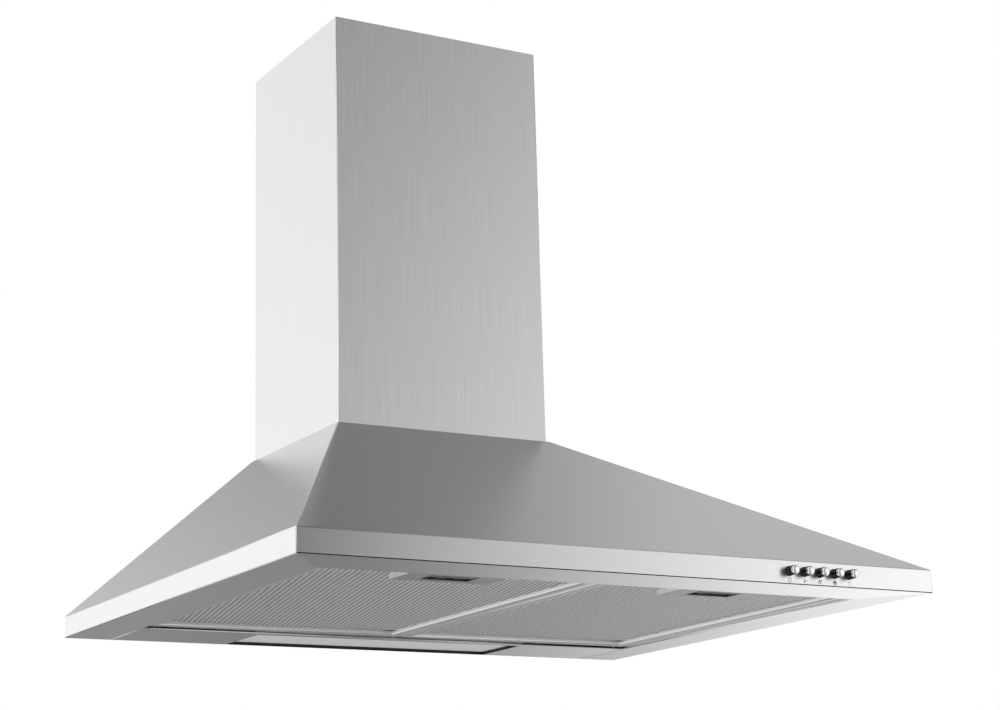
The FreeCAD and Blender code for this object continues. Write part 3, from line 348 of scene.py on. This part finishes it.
def side_face(side, near, far):
    """The corners of a face that runs back to the wall between two folds."""
    near_half, near_depth, near_height = near
    far_half, far_depth, far_height = far
    return [
        (side * near_half, near_depth, near_height),
        (side * near_half, 0, near_height),
        (side * far_half, 0, far_height),
        (side * far_half, far_depth, far_height),
    ]


ACROSS, BACKWARD, DOWN = (1, 0, 0), (0, 1, 0), (0, 0, -1)
mitred_foot = (foot[0] - MITRE_GAP, *foot[1:])
mitred_flange = (flange[0] - MITRE_GAP, *flange[1:])
canopy_faces = [
    (front_face(foot, rim), (0, -1, 0), ACROSS, button_holes),
    (front_face(rim, top), (0, -1, 1), ACROSS, []),
    (front_face(top, ledge), (0, 0, 1), ACROSS, []),
    (front_face(mitred_foot, mitred_flange), DOWN, ACROSS, []),
]
for side in (-1, 1):
    canopy_faces += [
        (side_face(side, foot, rim), (side, 0, 0), BACKWARD, []),
        (side_face(side, rim, top), (side, 0, 1), BACKWARD, []),
        (side_face(side, top, ledge), (0, 0, 1), BACKWARD, []),
        (side_face(side, foot, flange), DOWN, BACKWARD, []),
        (side_face(side, flange, hem), (-side, 0, 0), BACKWARD, []),
    ]
canopy = folded("canopy", canopy_faces, SHEET, CANOPY_BEND, stainless)
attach(canopy, "hood")
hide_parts("canopy_shell")

# The lamp strip: a narrow stainless sheet hooked over the side flanges at the wall side.
# It turns up along the wall, and the lamp opening's edges are turned up too, to carry the diffuser.
LENS_REST = 2.2
LIP = 2.8
STRIP_GAP = 0.35
STRIP_REAR = -1.0
STRIP_UPSTAND = 14
lens_low, lens_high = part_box("lamp_diffuser")
lens_left = lens_low.x / MM + LENS_REST
lens_right = lens_high.x / MM - LENS_REST
lens_front = lens_low.y / MM + LENS_REST
lens_rear = -2.6
strip_left = -flange_half + STRIP_GAP
strip_right = flange_half - STRIP_GAP
strip_front = opening_low.y / MM
strip_outline = [
    (strip_left, strip_front, 0),
    (strip_right, strip_front, 0),
    (strip_right, STRIP_REAR, 0),
    (strip_left, STRIP_REAR, 0),
]
lens_hole = [
    (lens_left, lens_front, 0),
    (lens_right, lens_front, 0),
    (lens_right, lens_rear, 0),
    (lens_left, lens_rear, 0),
]
upstand = [
    (strip_left, STRIP_REAR, 0),
    (strip_right, STRIP_REAR, 0),
    (strip_right, STRIP_REAR, STRIP_UPSTAND),
    (strip_left, STRIP_REAR, STRIP_UPSTAND),
]
strip_faces = [(strip_outline, DOWN, ACROSS, [lens_hole]), (upstand, (0, 1, 0), ACROSS, [])]
strip = folded("lamp_strip_sheet", strip_faces, SHEET, 0.5, stainless)
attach(strip, "hood")
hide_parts("lamp_strip")
# The opening's turned-up edges are coloured near black: painted shade for the dark walls of the recess round
# the diffuser.
recess_shade_black, tree, shader = new_material("near_black_recess_shade", Roughness=0.6, Base_Color=linear("#141415"))
stipple = noise(tree, 0.6)
emboss(tree, shader, stipple, 0.2, 0.04)
edge_faces = []
for index in range(4):
    start, end = Vector(lens_hole[index]), Vector(lens_hole[(index + 1) % 4])
    inward = Vector((0, 0, 1)).cross(end - start).normalized()
    rise = Vector((0, 0, LIP))
    edge_faces.append(([start, end, end + rise, start + rise], inward, end - start, []))
edges = folded("lamp_opening_edges", edge_faces, 0.6, 0, recess_shade_black)
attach(edges, "hood")

# The diffuser: a frosted acrylic sheet that lies on the opening's turned-up edges.
# Its under face is etched, so it glows evenly and shows nothing of the lamps behind it.
acrylic, tree, shader = new_material(
    "frosted_acrylic",
    Roughness=0.55,
    IOR=1.49,
    Base_Color=linear("#D2D2D1"),
    Subsurface_Weight=0.4,
    Subsurface_Scale=3 * MM,
)
etch = noise(tree, 0.8)
emboss(tree, shader, etch, 0.3, 0.05)
moulded("lamp_diffuser", 0.4, acrylic)

# The reflector: a folded steel box over the diffuser, stove-enamelled white inside and out.
# The enamel pools a little, so its gloss shows a soft orange peel.
enamel, tree, shader = new_material("white_stove_enamel", Roughness=0.28, Base_Color=linear("#E4E3DE"))
peel = noise(tree, 2.5, 1.0)
emboss(tree, shader, peel, 0.12, 0.05)
moulded("lamp_reflector", 0.5, enamel)

# The lamp holders: pressed steatite blocks, one at each end, each with a round socket.
# Unglazed steatite is chalky white, with a faint warm cast.
steatite, tree, shader = new_material("pressed_steatite", Roughness=0.62, Base_Color=linear("#E1DED3"))
powder = noise(tree, 1.2, 3.0)
tint(tree, shader, powder, "#D8D4C8", "#E8E6DD")
for side in ("left", "right"):
    moulded(f"lamp_holder_{side}", 0.5, steatite)

# The bulbs: blown opal glass tubes on a screw cap. The inside is dusted white, so unlit they
# look like smooth milky glass with a bright skin.
opal, tree, shader = new_material(
    "opal_glass",
    Roughness=0.12,
    IOR=1.5,
    Base_Color=linear("#EFEEE8"),
    Coat_Weight=0.6,
    Coat_Roughness=0.05,
)
milk = noise(tree, 14)
tint(tree, shader, milk, "#E6E5DE", "#F4F3EE")
for side in ("left", "right"):
    moulded(f"lamp_bulb_{side}", 2.0, opal)

# The chimney: two folded channels of the same stainless sheet, open at the wall.
# The upper one slides inside the lower one, up to the ceiling, and both are brushed upwards.


def channel(name, node, steel, lip, body):
    """A channel with a return along each rear edge, folded from flat faces."""
    low, high = (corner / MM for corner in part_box(node))
    faces = []
    up = (0, 0, 1)
    walls = [
        ((low.x, high.y), (low.x, low.y), (-1, 0, 0)),
        ((low.x, low.y), (high.x, low.y), (0, -1, 0)),
        ((high.x, low.y), (high.x, high.y), (1, 0, 0)),
        ((low.x + lip, high.y), (low.x, high.y), (0, 1, 0)),
        ((high.x, high.y), (high.x - lip, high.y), (0, 1, 0)),
    ]
    for start, end, outward in walls:
        corners = [(*start, low.z), (*end, low.z), (*end, high.z), (*start, high.z)]
        faces.append((corners, outward, up, []))
    piece = folded(name, faces, steel, 0.8, stainless)
    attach(piece, body)
    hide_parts(node)


RETURN = 12.0
channel("chimney_lower_sheet", "chimney_lower", SHEET, RETURN, "hood")
channel("chimney_upper_sheet", "chimney_upper", 0.6, RETURN, "telescopic_section")

# The pressed steel inside: the bracket that holds the upper chimney to the wall, and the plate
# that carries the blower. Both keep the mill's galvanised skin, and their cut edges are rolled over.
moulded("chimney_bracket", 0.3, galvanised)
moulded("blower_plate", 0.25, galvanised)

# The blower: a black scroll in two moulded halves, and a squirrel-cage impeller inside it.
# The outlet collar and its two damper flaps are moulded in the same black polypropylene.


def dress(material, *names):
    """Gives CAD nodes whose shape is right their real finish."""
    for name in names:
        mesh = nodes[name].data
        mesh.materials.clear()
        mesh.materials.append(material)


dress(polypropylene, "impeller")
for name in ("scroll_front", "scroll_rear", "outlet_collar", "damper_flap_rear", "damper_flap_front"):
    moulded(name, 0.5, polypropylene)

# The motor: a deep-drawn steel can, zinc plated, in a pressed bracket on three rubber mounts.
# The plating is a bluish grey with a soft sheen and a few handling marks.
zinc, tree, shader = new_material(
    "zinc_plated_steel", Metallic=1.0, Roughness=0.38, Base_Color=linear("#8F9397")
)
marks = noise(tree, 12, 4.0)
roughen(tree, shader, marks, 0.28, 0.5)
moulded("motor", 1.5, zinc)
moulded("motor_bracket", 0.3, galvanised)
moulded("motor_mounts", 0.5, rubber)
dress(zinc, "motor_screws", "outlet_screws")

# The motor's shaft and the dampers' spindle: centreless-ground steel rod, cut to length.
# It is bright and almost mirror smooth, with a faint unevenness that the grinding leaves.
ground, tree, shader = new_material(
    "ground_steel", Metallic=1.0, Roughness=0.14, Base_Color=linear("#C4C5C6")
)
rings = noise(tree, 0.7)
roughen(tree, shader, rings, 0.1, 0.2)
dress(ground, "motor_shaft", "damper_spindle")

# The run capacitor: a white polymer can beside the scroll's neck.
# Injection-moulded polyamide, slightly glossy, with a warm off-white tone.
polyamide, tree, shader = new_material("white_polyamide", Roughness=0.4, Base_Color=linear("#DAD9D3"))
cloud = noise(tree, 20)
tint(tree, shader, cloud, "#D2D1CB", "#E0DFDA")
moulded("capacitor", 1.2, polyamide)

# The grease filters: a rolled aluminium channel clamps a perforated face, a pack of expanded
# mesh and a back sheet. The channel's lower edge stands 4 mm proud of the face.
# Rolled aluminium: a bright mill finish whose fine lines run along each bar.
rolled, tree, shader = new_material(
    "rolled_aluminium", Metallic=1.0, Roughness=0.45, Anisotropic=0.3, Base_Color=linear("#DEDEDF")
)
place = add_node(tree, "UVMap", {"uv_map": "grain"}, {})
tangent = add_node(tree, "Tangent", {"direction_type": "UV_MAP", "uv_map": "grain"}, {})
tree.links.new(tangent.outputs["Tangent"], shader.inputs["Tangent"])
drawn = add_node(
    tree, "Mapping", {"Scale": (1 / (0.8 * MM), 1 / (60 * MM), 1.0)}, {"Vector": place.outputs["UV"]}
)
lines = add_node(tree, "TexNoise", {"Scale": 1.0, "Detail": 2.0}, {"Vector": drawn.outputs["Vector"]})
roughen(tree, shader, lines.outputs["Fac"], 0.38, 0.52)

# Perforated aluminium: punched with 3.3 mm holes 5.4 mm apart, whose rows run at a slant.
# It is etched dull, so it stays an even pale grey between the holes.
punched, tree, shader = new_material(
    "punched_aluminium", Metallic=1.0, Roughness=0.62, Base_Color=linear("#ECECED")
)
cloud = noise(tree, 25, 3.0)
roughen(tree, shader, cloud, 0.52, 0.64)

# Expanded aluminium mesh: thin slit foil pulled into lozenges, several layers deep.
# From below it only shows through the holes. Its colour is pale at each lozenge's middle and darkens to near
# black at its edges, painted shade for the layers lying deeper.
expanded, tree, shader = new_material(
    "expanded_aluminium_mesh", Metallic=1.0, Roughness=0.6, Base_Color=linear("#A9ABAD")
)
place = add_node(tree, "TexCoord", {}, {})
lozenges_and_shade = add_node(tree, "TexVoronoi", {"Scale": 1 / (3.2 * MM)}, {"Vector": place.outputs["Object"]})
# Painted shade: the tone darkens from each lozenge's middle towards its edges.
tint(tree, shader, lozenges_and_shade.outputs["Distance"], "#A2A3A4", "#4A4B4C")
emboss(tree, shader, lozenges_and_shade.outputs["Distance"], 0.8, 0.6)

# The channel is BAR wide. The face reaches FACE_INSET short of the filter's outline, under the
# channel, and OVERLAP under the latch; its corners are cut off, and cells whose corners fall in the
# same twentieth of a millimetre share them.
BAR = 11.0
PITCH = 5.4
HOLE = 1.65
ROW_TURN = math.radians(17)
CORNER = 13.0
LATCH_HALF = 44.0
FACE_INSET = 8.5
OVERLAP = 1.5
SHARED = 20
CHANNEL_WALL = 0.6


def punched_sheet(name, left, right, front, rear, latch_rear, height):
    """One flat sheet of hexagon cells, each with a round hole, in rows that run at a slant."""
    points, faces, corner_of = [], [], {}
    reach = PITCH / math.sqrt(3)
    row_step = PITCH * math.sqrt(3) / 2
    middle = ((left + right) / 2, (front + rear) / 2)
    count = int(math.hypot(right - left, rear - front) / PITCH)
    for row in range(-count, count + 1):
        for column in range(-count, count + 1):
            along = (column + 0.5 * (row % 2)) * PITCH
            up = row * row_step
            x = middle[0] + along * math.cos(ROW_TURN) - up * math.sin(ROW_TURN)
            y = middle[1] + along * math.sin(ROW_TURN) + up * math.cos(ROW_TURN)
            if not (left <= x <= right and front <= y <= rear):
                continue
            if abs(x) < LATCH_HALF - OVERLAP and y < latch_rear:
                continue
            if min(x - left, right - x) + min(y - front, rear - y) < CORNER:
                continue
            corners = []
            for turn in range(6):
                angle = math.radians(30 + 60 * turn) + ROW_TURN
                corner = (x + reach * math.cos(angle), y + reach * math.sin(angle))
                key = (round(corner[0] * SHARED), round(corner[1] * SHARED))
                near = [(key[0] + i, key[1] + j) for i in (0, -1, 1) for j in (0, -1, 1)]
                known = [corner_of[other] for other in near if other in corner_of]
                if known:
                    corners.append(known[0])
                else:
                    corner_of[key] = len(points)
                    corners.append(len(points))
                    points.append((corner[0] * MM, corner[1] * MM, height * MM))
            first = len(points)
            for turn in range(12):
                angle = math.radians(30 + 30 * turn) + ROW_TURN
                edge = (x + HOLE * math.cos(angle), y + HOLE * math.sin(angle))
                points.append((edge[0] * MM, edge[1] * MM, height * MM))
            for turn in range(6):
                ring = [first + (2 * turn + step) % 12 for step in range(3)]
                faces.append((corners[(turn + 1) % 6], corners[turn], *ring))
    mesh = bpy.data.meshes.new(name)
    mesh.from_pydata(points, [], faces)
    mesh.materials.append(punched)
    return mesh


def rolled_frame(name, half, front, rear, low, high, face):
    """A channel rolled round three sides and up to the latch on the fourth, mitred at the corners.

    The section gives how far in from the outline each line of it lies, and its height."""
    section = [
        (BAR, high),
        (0, high),
        (0, low + 1.4),
        (0.4, low + 0.4),
        (1.4, low),
        (BAR - 1.4, low),
        (BAR - 0.4, low + 0.4),
        (BAR, low + 1.4),
        (BAR, face),
    ]
    route = [
        lambda d: (-LATCH_HALF, front + d),
        lambda d: (-half + d, front + d),
        lambda d: (-half + d, rear - d),
        lambda d: (half - d, rear - d),
        lambda d: (half - d, front + d),
        lambda d: (LATCH_HALF, front + d),
    ]
    work = bmesh.new()
    grain_map = work.loops.layers.uv.new("grain")
    for start, end in zip(route, route[1:]):
        rails = [
            (work.verts.new(Vector((*start(d), z)) * MM), work.verts.new(Vector((*end(d), z)) * MM))
            for d, z in section
        ]
        run = 0.0
        for (near_a, near_b), (far_a, far_b) in zip(rails, rails[1:]):
            face_made = work.faces.new((near_a, near_b, far_b, far_a))
            width = (far_a.co - near_a.co).length
            along = (near_b.co - near_a.co).normalized()
            for corner in face_made.loops:
                across = run if corner.vert in (near_a, near_b) else run + width
                corner[grain_map].uv = (across, corner.vert.co.dot(along))
            run += width
    bmesh.ops.remove_doubles(work, verts=work.verts, dist=0.01 * MM)
    bmesh.ops.recalc_face_normals(work, faces=work.faces)
    mesh = bpy.data.meshes.new(name)
    work.to_mesh(mesh)
    work.free()
    mesh.materials.append(rolled)
    shade_by_angle(mesh, 50)
    return mesh


frame_low, frame_high = (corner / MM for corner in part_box("filter_right_frame"))
face_low, face_high = (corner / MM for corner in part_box("filter_right_face"))
housing_low, housing_high = (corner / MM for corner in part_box("latch_right_housing"))
filter_middle = (frame_low.x + frame_high.x) / 2
filter_half = frame_high.x - filter_middle
filter_rear = face_high.y + 1.2
punched_mesh = punched_sheet(
    "punched_sheet",
    -filter_half + FACE_INSET,
    filter_half - FACE_INSET,
    frame_low.y + FACE_INSET,
    filter_rear - FACE_INSET,
    housing_high.y - OVERLAP,
    face_low.z,
)
frame_mesh = rolled_frame(
    "rolled_channel", filter_half, frame_low.y, filter_rear, frame_low.z, frame_high.z, face_low.z
)

for side, sign in (("left", -1), ("right", 1)):
    body = f"filter_{side}"
    for kind, mesh, node in (("face_sheet", punched_mesh, "face"), ("channel", frame_mesh, "frame")):
        piece = bpy.data.objects.new(f"filter_{side}_{kind}", mesh)
        piece.location.x = sign * filter_middle * MM
        bpy.context.scene.collection.objects.link(piece)
        if kind == "channel":
            solid = piece.modifiers.new("sheet", "SOLIDIFY")
            solid.thickness = CHANNEL_WALL * MM
            solid.offset = -1.0
        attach(piece, body)
        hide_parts(f"filter_{side}_{node}")
    # The channel's two cut ends are folded up along the latch.
    faces = []
    for edge in (-1, 1):
        x = sign * filter_middle + edge * (LATCH_HALF + 0.1)
        y, back, top = housing_low.y, housing_high.y, face_low.z
        corners = [(x, y, frame_low.z), (x, back, frame_low.z), (x, back, top), (x, y, top)]
        faces.append((corners, (edge, 0, 0), BACKWARD, []))
    piece = folded(f"filter_{side}_latch_edges", faces, -CHANNEL_WALL, 0, rolled)
    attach(piece, body)
    dress(expanded, f"filter_{side}_mesh")
    dress(punched, f"filter_{side}_back")

# The latch in each filter's front edge: a grey housing with a finger slot, and a slider in it
# that a fingertip pulls back against a bent steel leaf.
# Moulded ABS with a satin skin: a soft highlight, and a grain too fine to see from a step away.
abs_grey, tree, shader = new_material("moulded_grey_abs", Roughness=0.36, Base_Color=linear("#7C7D7E"))
grain = noise(tree, 0.7)
emboss(tree, shader, grain, 0.15, 0.04)
for side in ("left", "right"):
    moulded(f"latch_{side}_housing", 0.45, abs_grey)
    moulded(f"latch_{side}_slider", 0.35, abs_grey)
    leaf = moulded(f"latch_{side}_spring", 0.08, ground)
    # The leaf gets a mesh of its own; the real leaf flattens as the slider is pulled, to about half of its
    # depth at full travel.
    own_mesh(leaf)
    moulded(f"latch_{side}_catch", 0.15, galvanised)

# The push buttons: a glossy black barrel through the rim, with a chromed cap on its end.
# Glossy ABS shows a sharp streak of the room over a nearly black body.
abs_black, tree, shader = new_material(
    "glossy_black_abs", Roughness=0.14, IOR=1.35, Base_Color=linear("#080809")
)
wear = noise(tree, 2, 3.0)
roughen(tree, shader, wear, 0.08, 0.18)
# Satin chrome plate over ABS: white where the room is bright, with soft edges to what it mirrors.
chrome, tree, shader = new_material(
    "chrome_plate", Metallic=1.0, Roughness=0.24, Base_Color=linear("#DADBDC")
)
wear = noise(tree, 1.5, 3.0)
roughen(tree, shader, wear, 0.18, 0.3)


def turned(name, node, profile, start, outward, material):
    """A solid of revolution about a line through a point: profile of (distance along, radius)."""
    axis = Vector(outward)
    side = axis.orthogonal().normalized()
    other = axis.cross(side)
    work = bmesh.new()
    rings = []
    for along, radius in profile:
        ring = []
        for step in range(ROUND):
            angle = 2 * math.pi * step / ROUND
            spoke = math.cos(angle) * side + math.sin(angle) * other
            ring.append(work.verts.new((Vector(start) + along * axis + radius * spoke) * MM))
        rings.append(ring)
    for near, far in zip(rings, rings[1:]):
        for step in range(ROUND):
            following = (step + 1) % ROUND
            work.faces.new((near[step], near[following], far[following], far[step]))
    work.faces.new(list(reversed(rings[0])))
    work.faces.new(rings[-1])
    bmesh.ops.recalc_face_normals(work, faces=work.faces)
    mesh = bpy.data.meshes.new(name)
    work.to_mesh(mesh)
    work.free()
    mesh.materials.append(material)
    shade_by_angle(mesh, 32)
    piece = bpy.data.objects.new(name, mesh)
    bpy.context.scene.collection.objects.link(piece)
    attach(piece, nodes[node]["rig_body"])
    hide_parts(node)


for index in range(1, 6):
    barrel_low, barrel_high = (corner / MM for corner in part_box(f"button_barrel_{index}"))
    cap_low, cap_high = (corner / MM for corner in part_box(f"button_cap_{index}"))
    middle = (barrel_low + barrel_high) / 2
    reach = (barrel_high.x - barrel_low.x) / 2
    long = barrel_high.y - barrel_low.y
    profile = [(0, reach), (long - 0.5, reach), (long - 0.15, reach - 0.15), (long, reach - 0.5)]
    back = (middle.x, barrel_high.y, middle.z)
    turned(f"button_{index}_barrel", f"button_barrel_{index}", profile, back, (0, -1, 0), abs_black)
    reach = (cap_high.x - cap_low.x) / 2
    long = cap_high.y - cap_low.y
    profile = [(0, reach - 0.3), (0.3, reach), (long - 1.1, reach), (long - 0.6, reach - 0.12)]
    profile += [(long - 0.25, reach - 0.5), (long - 0.06, reach - 1.2), (long, reach - 2.4)]
    back = (middle.x, cap_high.y, middle.z)
    turned(f"button_{index}_cap", f"button_cap_{index}", profile, back, (0, -1, 0), chrome)
moulded("switch_block", 0.6, polypropylene)

# The marks under the buttons: lamp off, three fan speeds and lamp on, screen-printed in grey.
# The ink lies a few hundredths of a millimetre proud of the steel, with a flat, even surface.
ink, tree, shader = new_material("screen_printed_ink", Roughness=0.6, Base_Color=linear("#5C5E60"))
speck = noise(tree, 0.5)
tint(tree, shader, speck, "#55575A", "#66686A")

INK_Y = hood_front - 0.04
MARK_Z = 3.6
BLADE_CURVE = 38


def band(points, width, closed):
    """A line of ink of one width along points (x, z), as a strip of quads."""
    count = len(points)
    left, right = [], []
    for index, (x, z) in enumerate(points):
        before = points[(index - 1) % count] if closed or index > 0 else points[index]
        after = points[(index + 1) % count] if closed or index < count - 1 else points[index]
        dx, dz = after[0] - before[0], after[1] - before[1]
        length = math.hypot(dx, dz)
        nx, nz = -dz / length * width / 2, dx / length * width / 2
        left.append((x + nx, z + nz))
        right.append((x - nx, z - nz))
    steps = count if closed else count - 1
    return [(left[i], left[(i + 1) % count], right[(i + 1) % count], right[i]) for i in range(steps)]


def arc(x, z, radius, start, end, count):
    """Points (x, z) along an arc, from one angle to another in degrees."""
    turns = [math.radians(start + (end - start) * i / count) for i in range(count + 1)]
    return [(x + radius * math.cos(turn), z + radius * math.sin(turn)) for turn in turns]


def fan(x, z, blades, reach, width):
    """A hub with curved blades round it."""
    quads = band(arc(x, z, 0.35, 0, 360, 12)[:-1], 0.3, True)
    for blade in range(blades):
        start = 90 + 360 * blade / blades
        line = []
        for share in (0.2, 0.5, 0.75, 1.0):
            turn = math.radians(start + BLADE_CURVE * share)
            line.append((x + share * reach * math.cos(turn), z + share * reach * math.sin(turn)))
        quads += band(line, width, False)
    return quads


first, second, third, fourth, fifth = [middle.x for middle in button_middles]
pill = arc(first, MARK_Z + 0.9, 1.25, 0, 180, 8) + arc(first, MARK_Z - 0.9, 1.25, 180, 360, 8)
quads = band(pill, 0.5, True)
quads += fan(second, MARK_Z, 3, 2.3, 0.6)
quads += fan(third, MARK_Z, 4, 2.5, 0.75)
quads += fan(fourth, MARK_Z, 6, 2.6, 0.75)
quads += band(arc(fifth, MARK_Z + 0.4, 1.3, -50, 230, 14), 0.3, False)
quads += band([(fifth - 0.6, MARK_Z - 1.6), (fifth + 0.6, MARK_Z - 1.6)], 0.4, False)
points, faces = [], []
for quad in quads:
    faces.append(tuple(range(len(points), len(points) + 4)))
    points += [(x * MM, INK_Y * MM, z * MM) for x, z in quad]
mesh = bpy.data.meshes.new("button_marks")
mesh.from_pydata(points, [], faces)
mesh.materials.append(ink)
marks = bpy.data.objects.new("button_marks", mesh)
bpy.context.scene.collection.objects.link(marks)
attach(marks, "hood")

# The studio: a pale floor well below the hood, white all round it, and soft boxes to its sides.
# It stands in for the photographer's room, and nothing of it belongs to the hood.
floor_material, tree, shader = new_material("studio_floor", Roughness=0.7, Base_Color=linear("#F7F7F7"))
# Glossy rays pass through the floor, so metal mirrors the room below it and not a bright plane.
path = add_node(tree, "LightPath", {}, {})
clear = add_node(tree, "BsdfTransparent", {}, {})
surface = add_node(
    tree,
    "MixShader",
    {},
    {0: path.outputs["Is Glossy Ray"], 1: shader.outputs["BSDF"], 2: clear.outputs[0]},
)
tree.links.new(surface.outputs[0], tree.nodes["Material Output"].inputs["Surface"])
FLOOR_HALF = 60
FLOOR_Z = -4
floor_corners = [(x * FLOOR_HALF, y * FLOOR_HALF, FLOOR_Z) for x, y in ((-1, -1), (1, -1), (1, 1), (-1, 1))]
mesh = bpy.data.meshes.new("floor")
mesh.from_pydata(floor_corners, [], [(0, 1, 2, 3)])
mesh.materials.append(floor_material)
floor = bpy.data.objects.new("floor", mesh)
bpy.context.scene.collection.objects.link(floor)

world = bpy.data.worlds.new("studio")
bpy.context.scene.world = world
world.use_nodes = True
tree = world.node_tree
tree.nodes.clear()
direction = add_node(tree, "TexCoord", {}, {})
parts = add_node(tree, "SeparateXYZ", {}, {"Vector": direction.outputs["Generated"]})
# Metal sees white boxes to the left and right and a grey gap between them, as in a studio. The
# boxes are given by how far to the side they stand, below the hood, level with it and overhead.
across = add_node(tree, "MapRange", {"From Min": -1.0, "From Max": 1.0}, {"Value": parts.outputs["X"]})
boxes_below = {
    -1.0: 0.8, -0.8: 1.3, -0.6: 1.43, -0.2: 0.9, 0.0: 0.49, 0.15: 0.28, 0.25: 0.27, 0.34: 0.38,
    0.42: 0.27, 0.46: 0.32, 0.5: 0.53, 0.56: 0.9, 0.62: 1.3, 0.68: 1.55, 0.76: 1.45, 1.0: 0.7,
}
boxes_level = {
    -1.0: 0.75, -0.8: 1.05, -0.6: 1.34, -0.2: 1.38, 0.0: 1.0, 0.15: 0.6, 0.25: 0.24, 0.32: 0.03,
    0.38: 0.03, 0.42: 0.09, 0.44: 0.5, 0.46: 0.88, 0.5: 0.97, 0.56: 1.28, 0.62: 1.66, 0.7: 1.9,
    0.78: 1.6, 1.0: 0.75,
}
boxes_overhead = {
    -1.0: 0.45, -0.6: 0.9, -0.2: 1.25, 0.0: 1.2, 0.15: 0.6, 0.25: 0.16, 0.32: 0.04, 0.42: 0.14,
    0.46: 0.32, 0.5: 0.42, 0.56: 0.62, 0.62: 0.56, 0.7: 0.48, 1.0: 0.4,
}
rooms = []
for boxes in (boxes_below, boxes_level, boxes_overhead):
    brightest = max(boxes.values())
    room = add_node(tree, "ValToRGB", {}, {"Fac": across.outputs["Result"]})
    ramp = room.color_ramp
    stops = sorted(boxes.items())
    for end, (side, level) in zip(ramp.elements, (stops[0], stops[-1])):
        end.position = (side + 1) / 2
        end.color = (*[level / brightest] * 3, 1)
    for side, level in stops[1:-1]:
        ramp.elements.new((side + 1) / 2).color = (*[level / brightest] * 3, 1)
    rooms.append(add_node(tree, "Background", {"Strength": brightest}, {"Color": room.outputs["Color"]}))
above_floor = add_node(tree, "MapRange", {"From Min": -0.12, "From Max": 0.2}, {"Value": parts.outputs["Z"]})
overhead = add_node(tree, "MapRange", {"From Min": 0.2, "From Max": 0.55}, {"Value": parts.outputs["Z"]})
around = add_node(
    tree,
    "MixShader",
    {},
    {0: above_floor.outputs["Result"], 1: rooms[0].outputs[0], 2: rooms[1].outputs[0]},
)
reflected = add_node(
    tree, "MixShader", {}, {0: overhead.outputs["Result"], 1: around.outputs[0], 2: rooms[2].outputs[0]}
)
white = add_node(tree, "Background", {"Color": (1, 1, 1, 1), "Strength": 1.0}, {})
soft = add_node(tree, "Background", {"Color": (1, 1, 1, 1), "Strength": 0.85}, {})
path = add_node(tree, "LightPath", {}, {})
glossy = add_node(
    tree, "MixShader", {}, {0: path.outputs["Is Glossy Ray"], 1: soft.outputs[0], 2: reflected.outputs[0]}
)
seen = add_node(
    tree,
    "Math",
    {"operation": "MAXIMUM"},
    {0: path.outputs["Is Camera Ray"], 1: path.outputs["Is Transmission Ray"]},
)
shown = add_node(tree, "MixShader", {}, {0: seen.outputs[0], 1: glossy.outputs[0], 2: white.outputs[0]})
add_node(tree, "OutputWorld", {}, {"Surface": shown.outputs[0]})

# The camera stands where the photographer's did: left of the hood and a little below its rim.
# Its place, its turns in radians and its lens in millimetres were fitted to the hood's corners.
STAND = (-0.96427, -1.96128, -0.26412)
YAW = 0.52491
PITCH_UP = 0.25173
ROLL = -0.02705
LENS = 79.36
level_share = math.cos(PITCH_UP)
forward = Vector((math.sin(YAW) * level_share, math.cos(YAW) * level_share, math.sin(PITCH_UP)))
level_right = Vector((math.cos(YAW), -math.sin(YAW), 0))
level_up = level_right.cross(forward)
right = math.cos(ROLL) * level_right + math.sin(ROLL) * level_up
up = -math.sin(ROLL) * level_right + math.cos(ROLL) * level_up
lens = bpy.data.cameras.new("camera")
lens.lens = LENS
lens.sensor_width = 36
camera = bpy.data.objects.new("camera", lens)
camera.matrix_world = Matrix(
    (
        (right.x, up.x, -forward.x, STAND[0]),
        (right.y, up.y, -forward.y, STAND[1]),
        (right.z, up.z, -forward.z, STAND[2]),
        (0, 0, 0, 1),
    )
)
bpy.context.scene.collection.objects.link(camera)
bpy.context.scene.camera = camera
bpy.context.scene.view_settings.view_transform = "Standard"
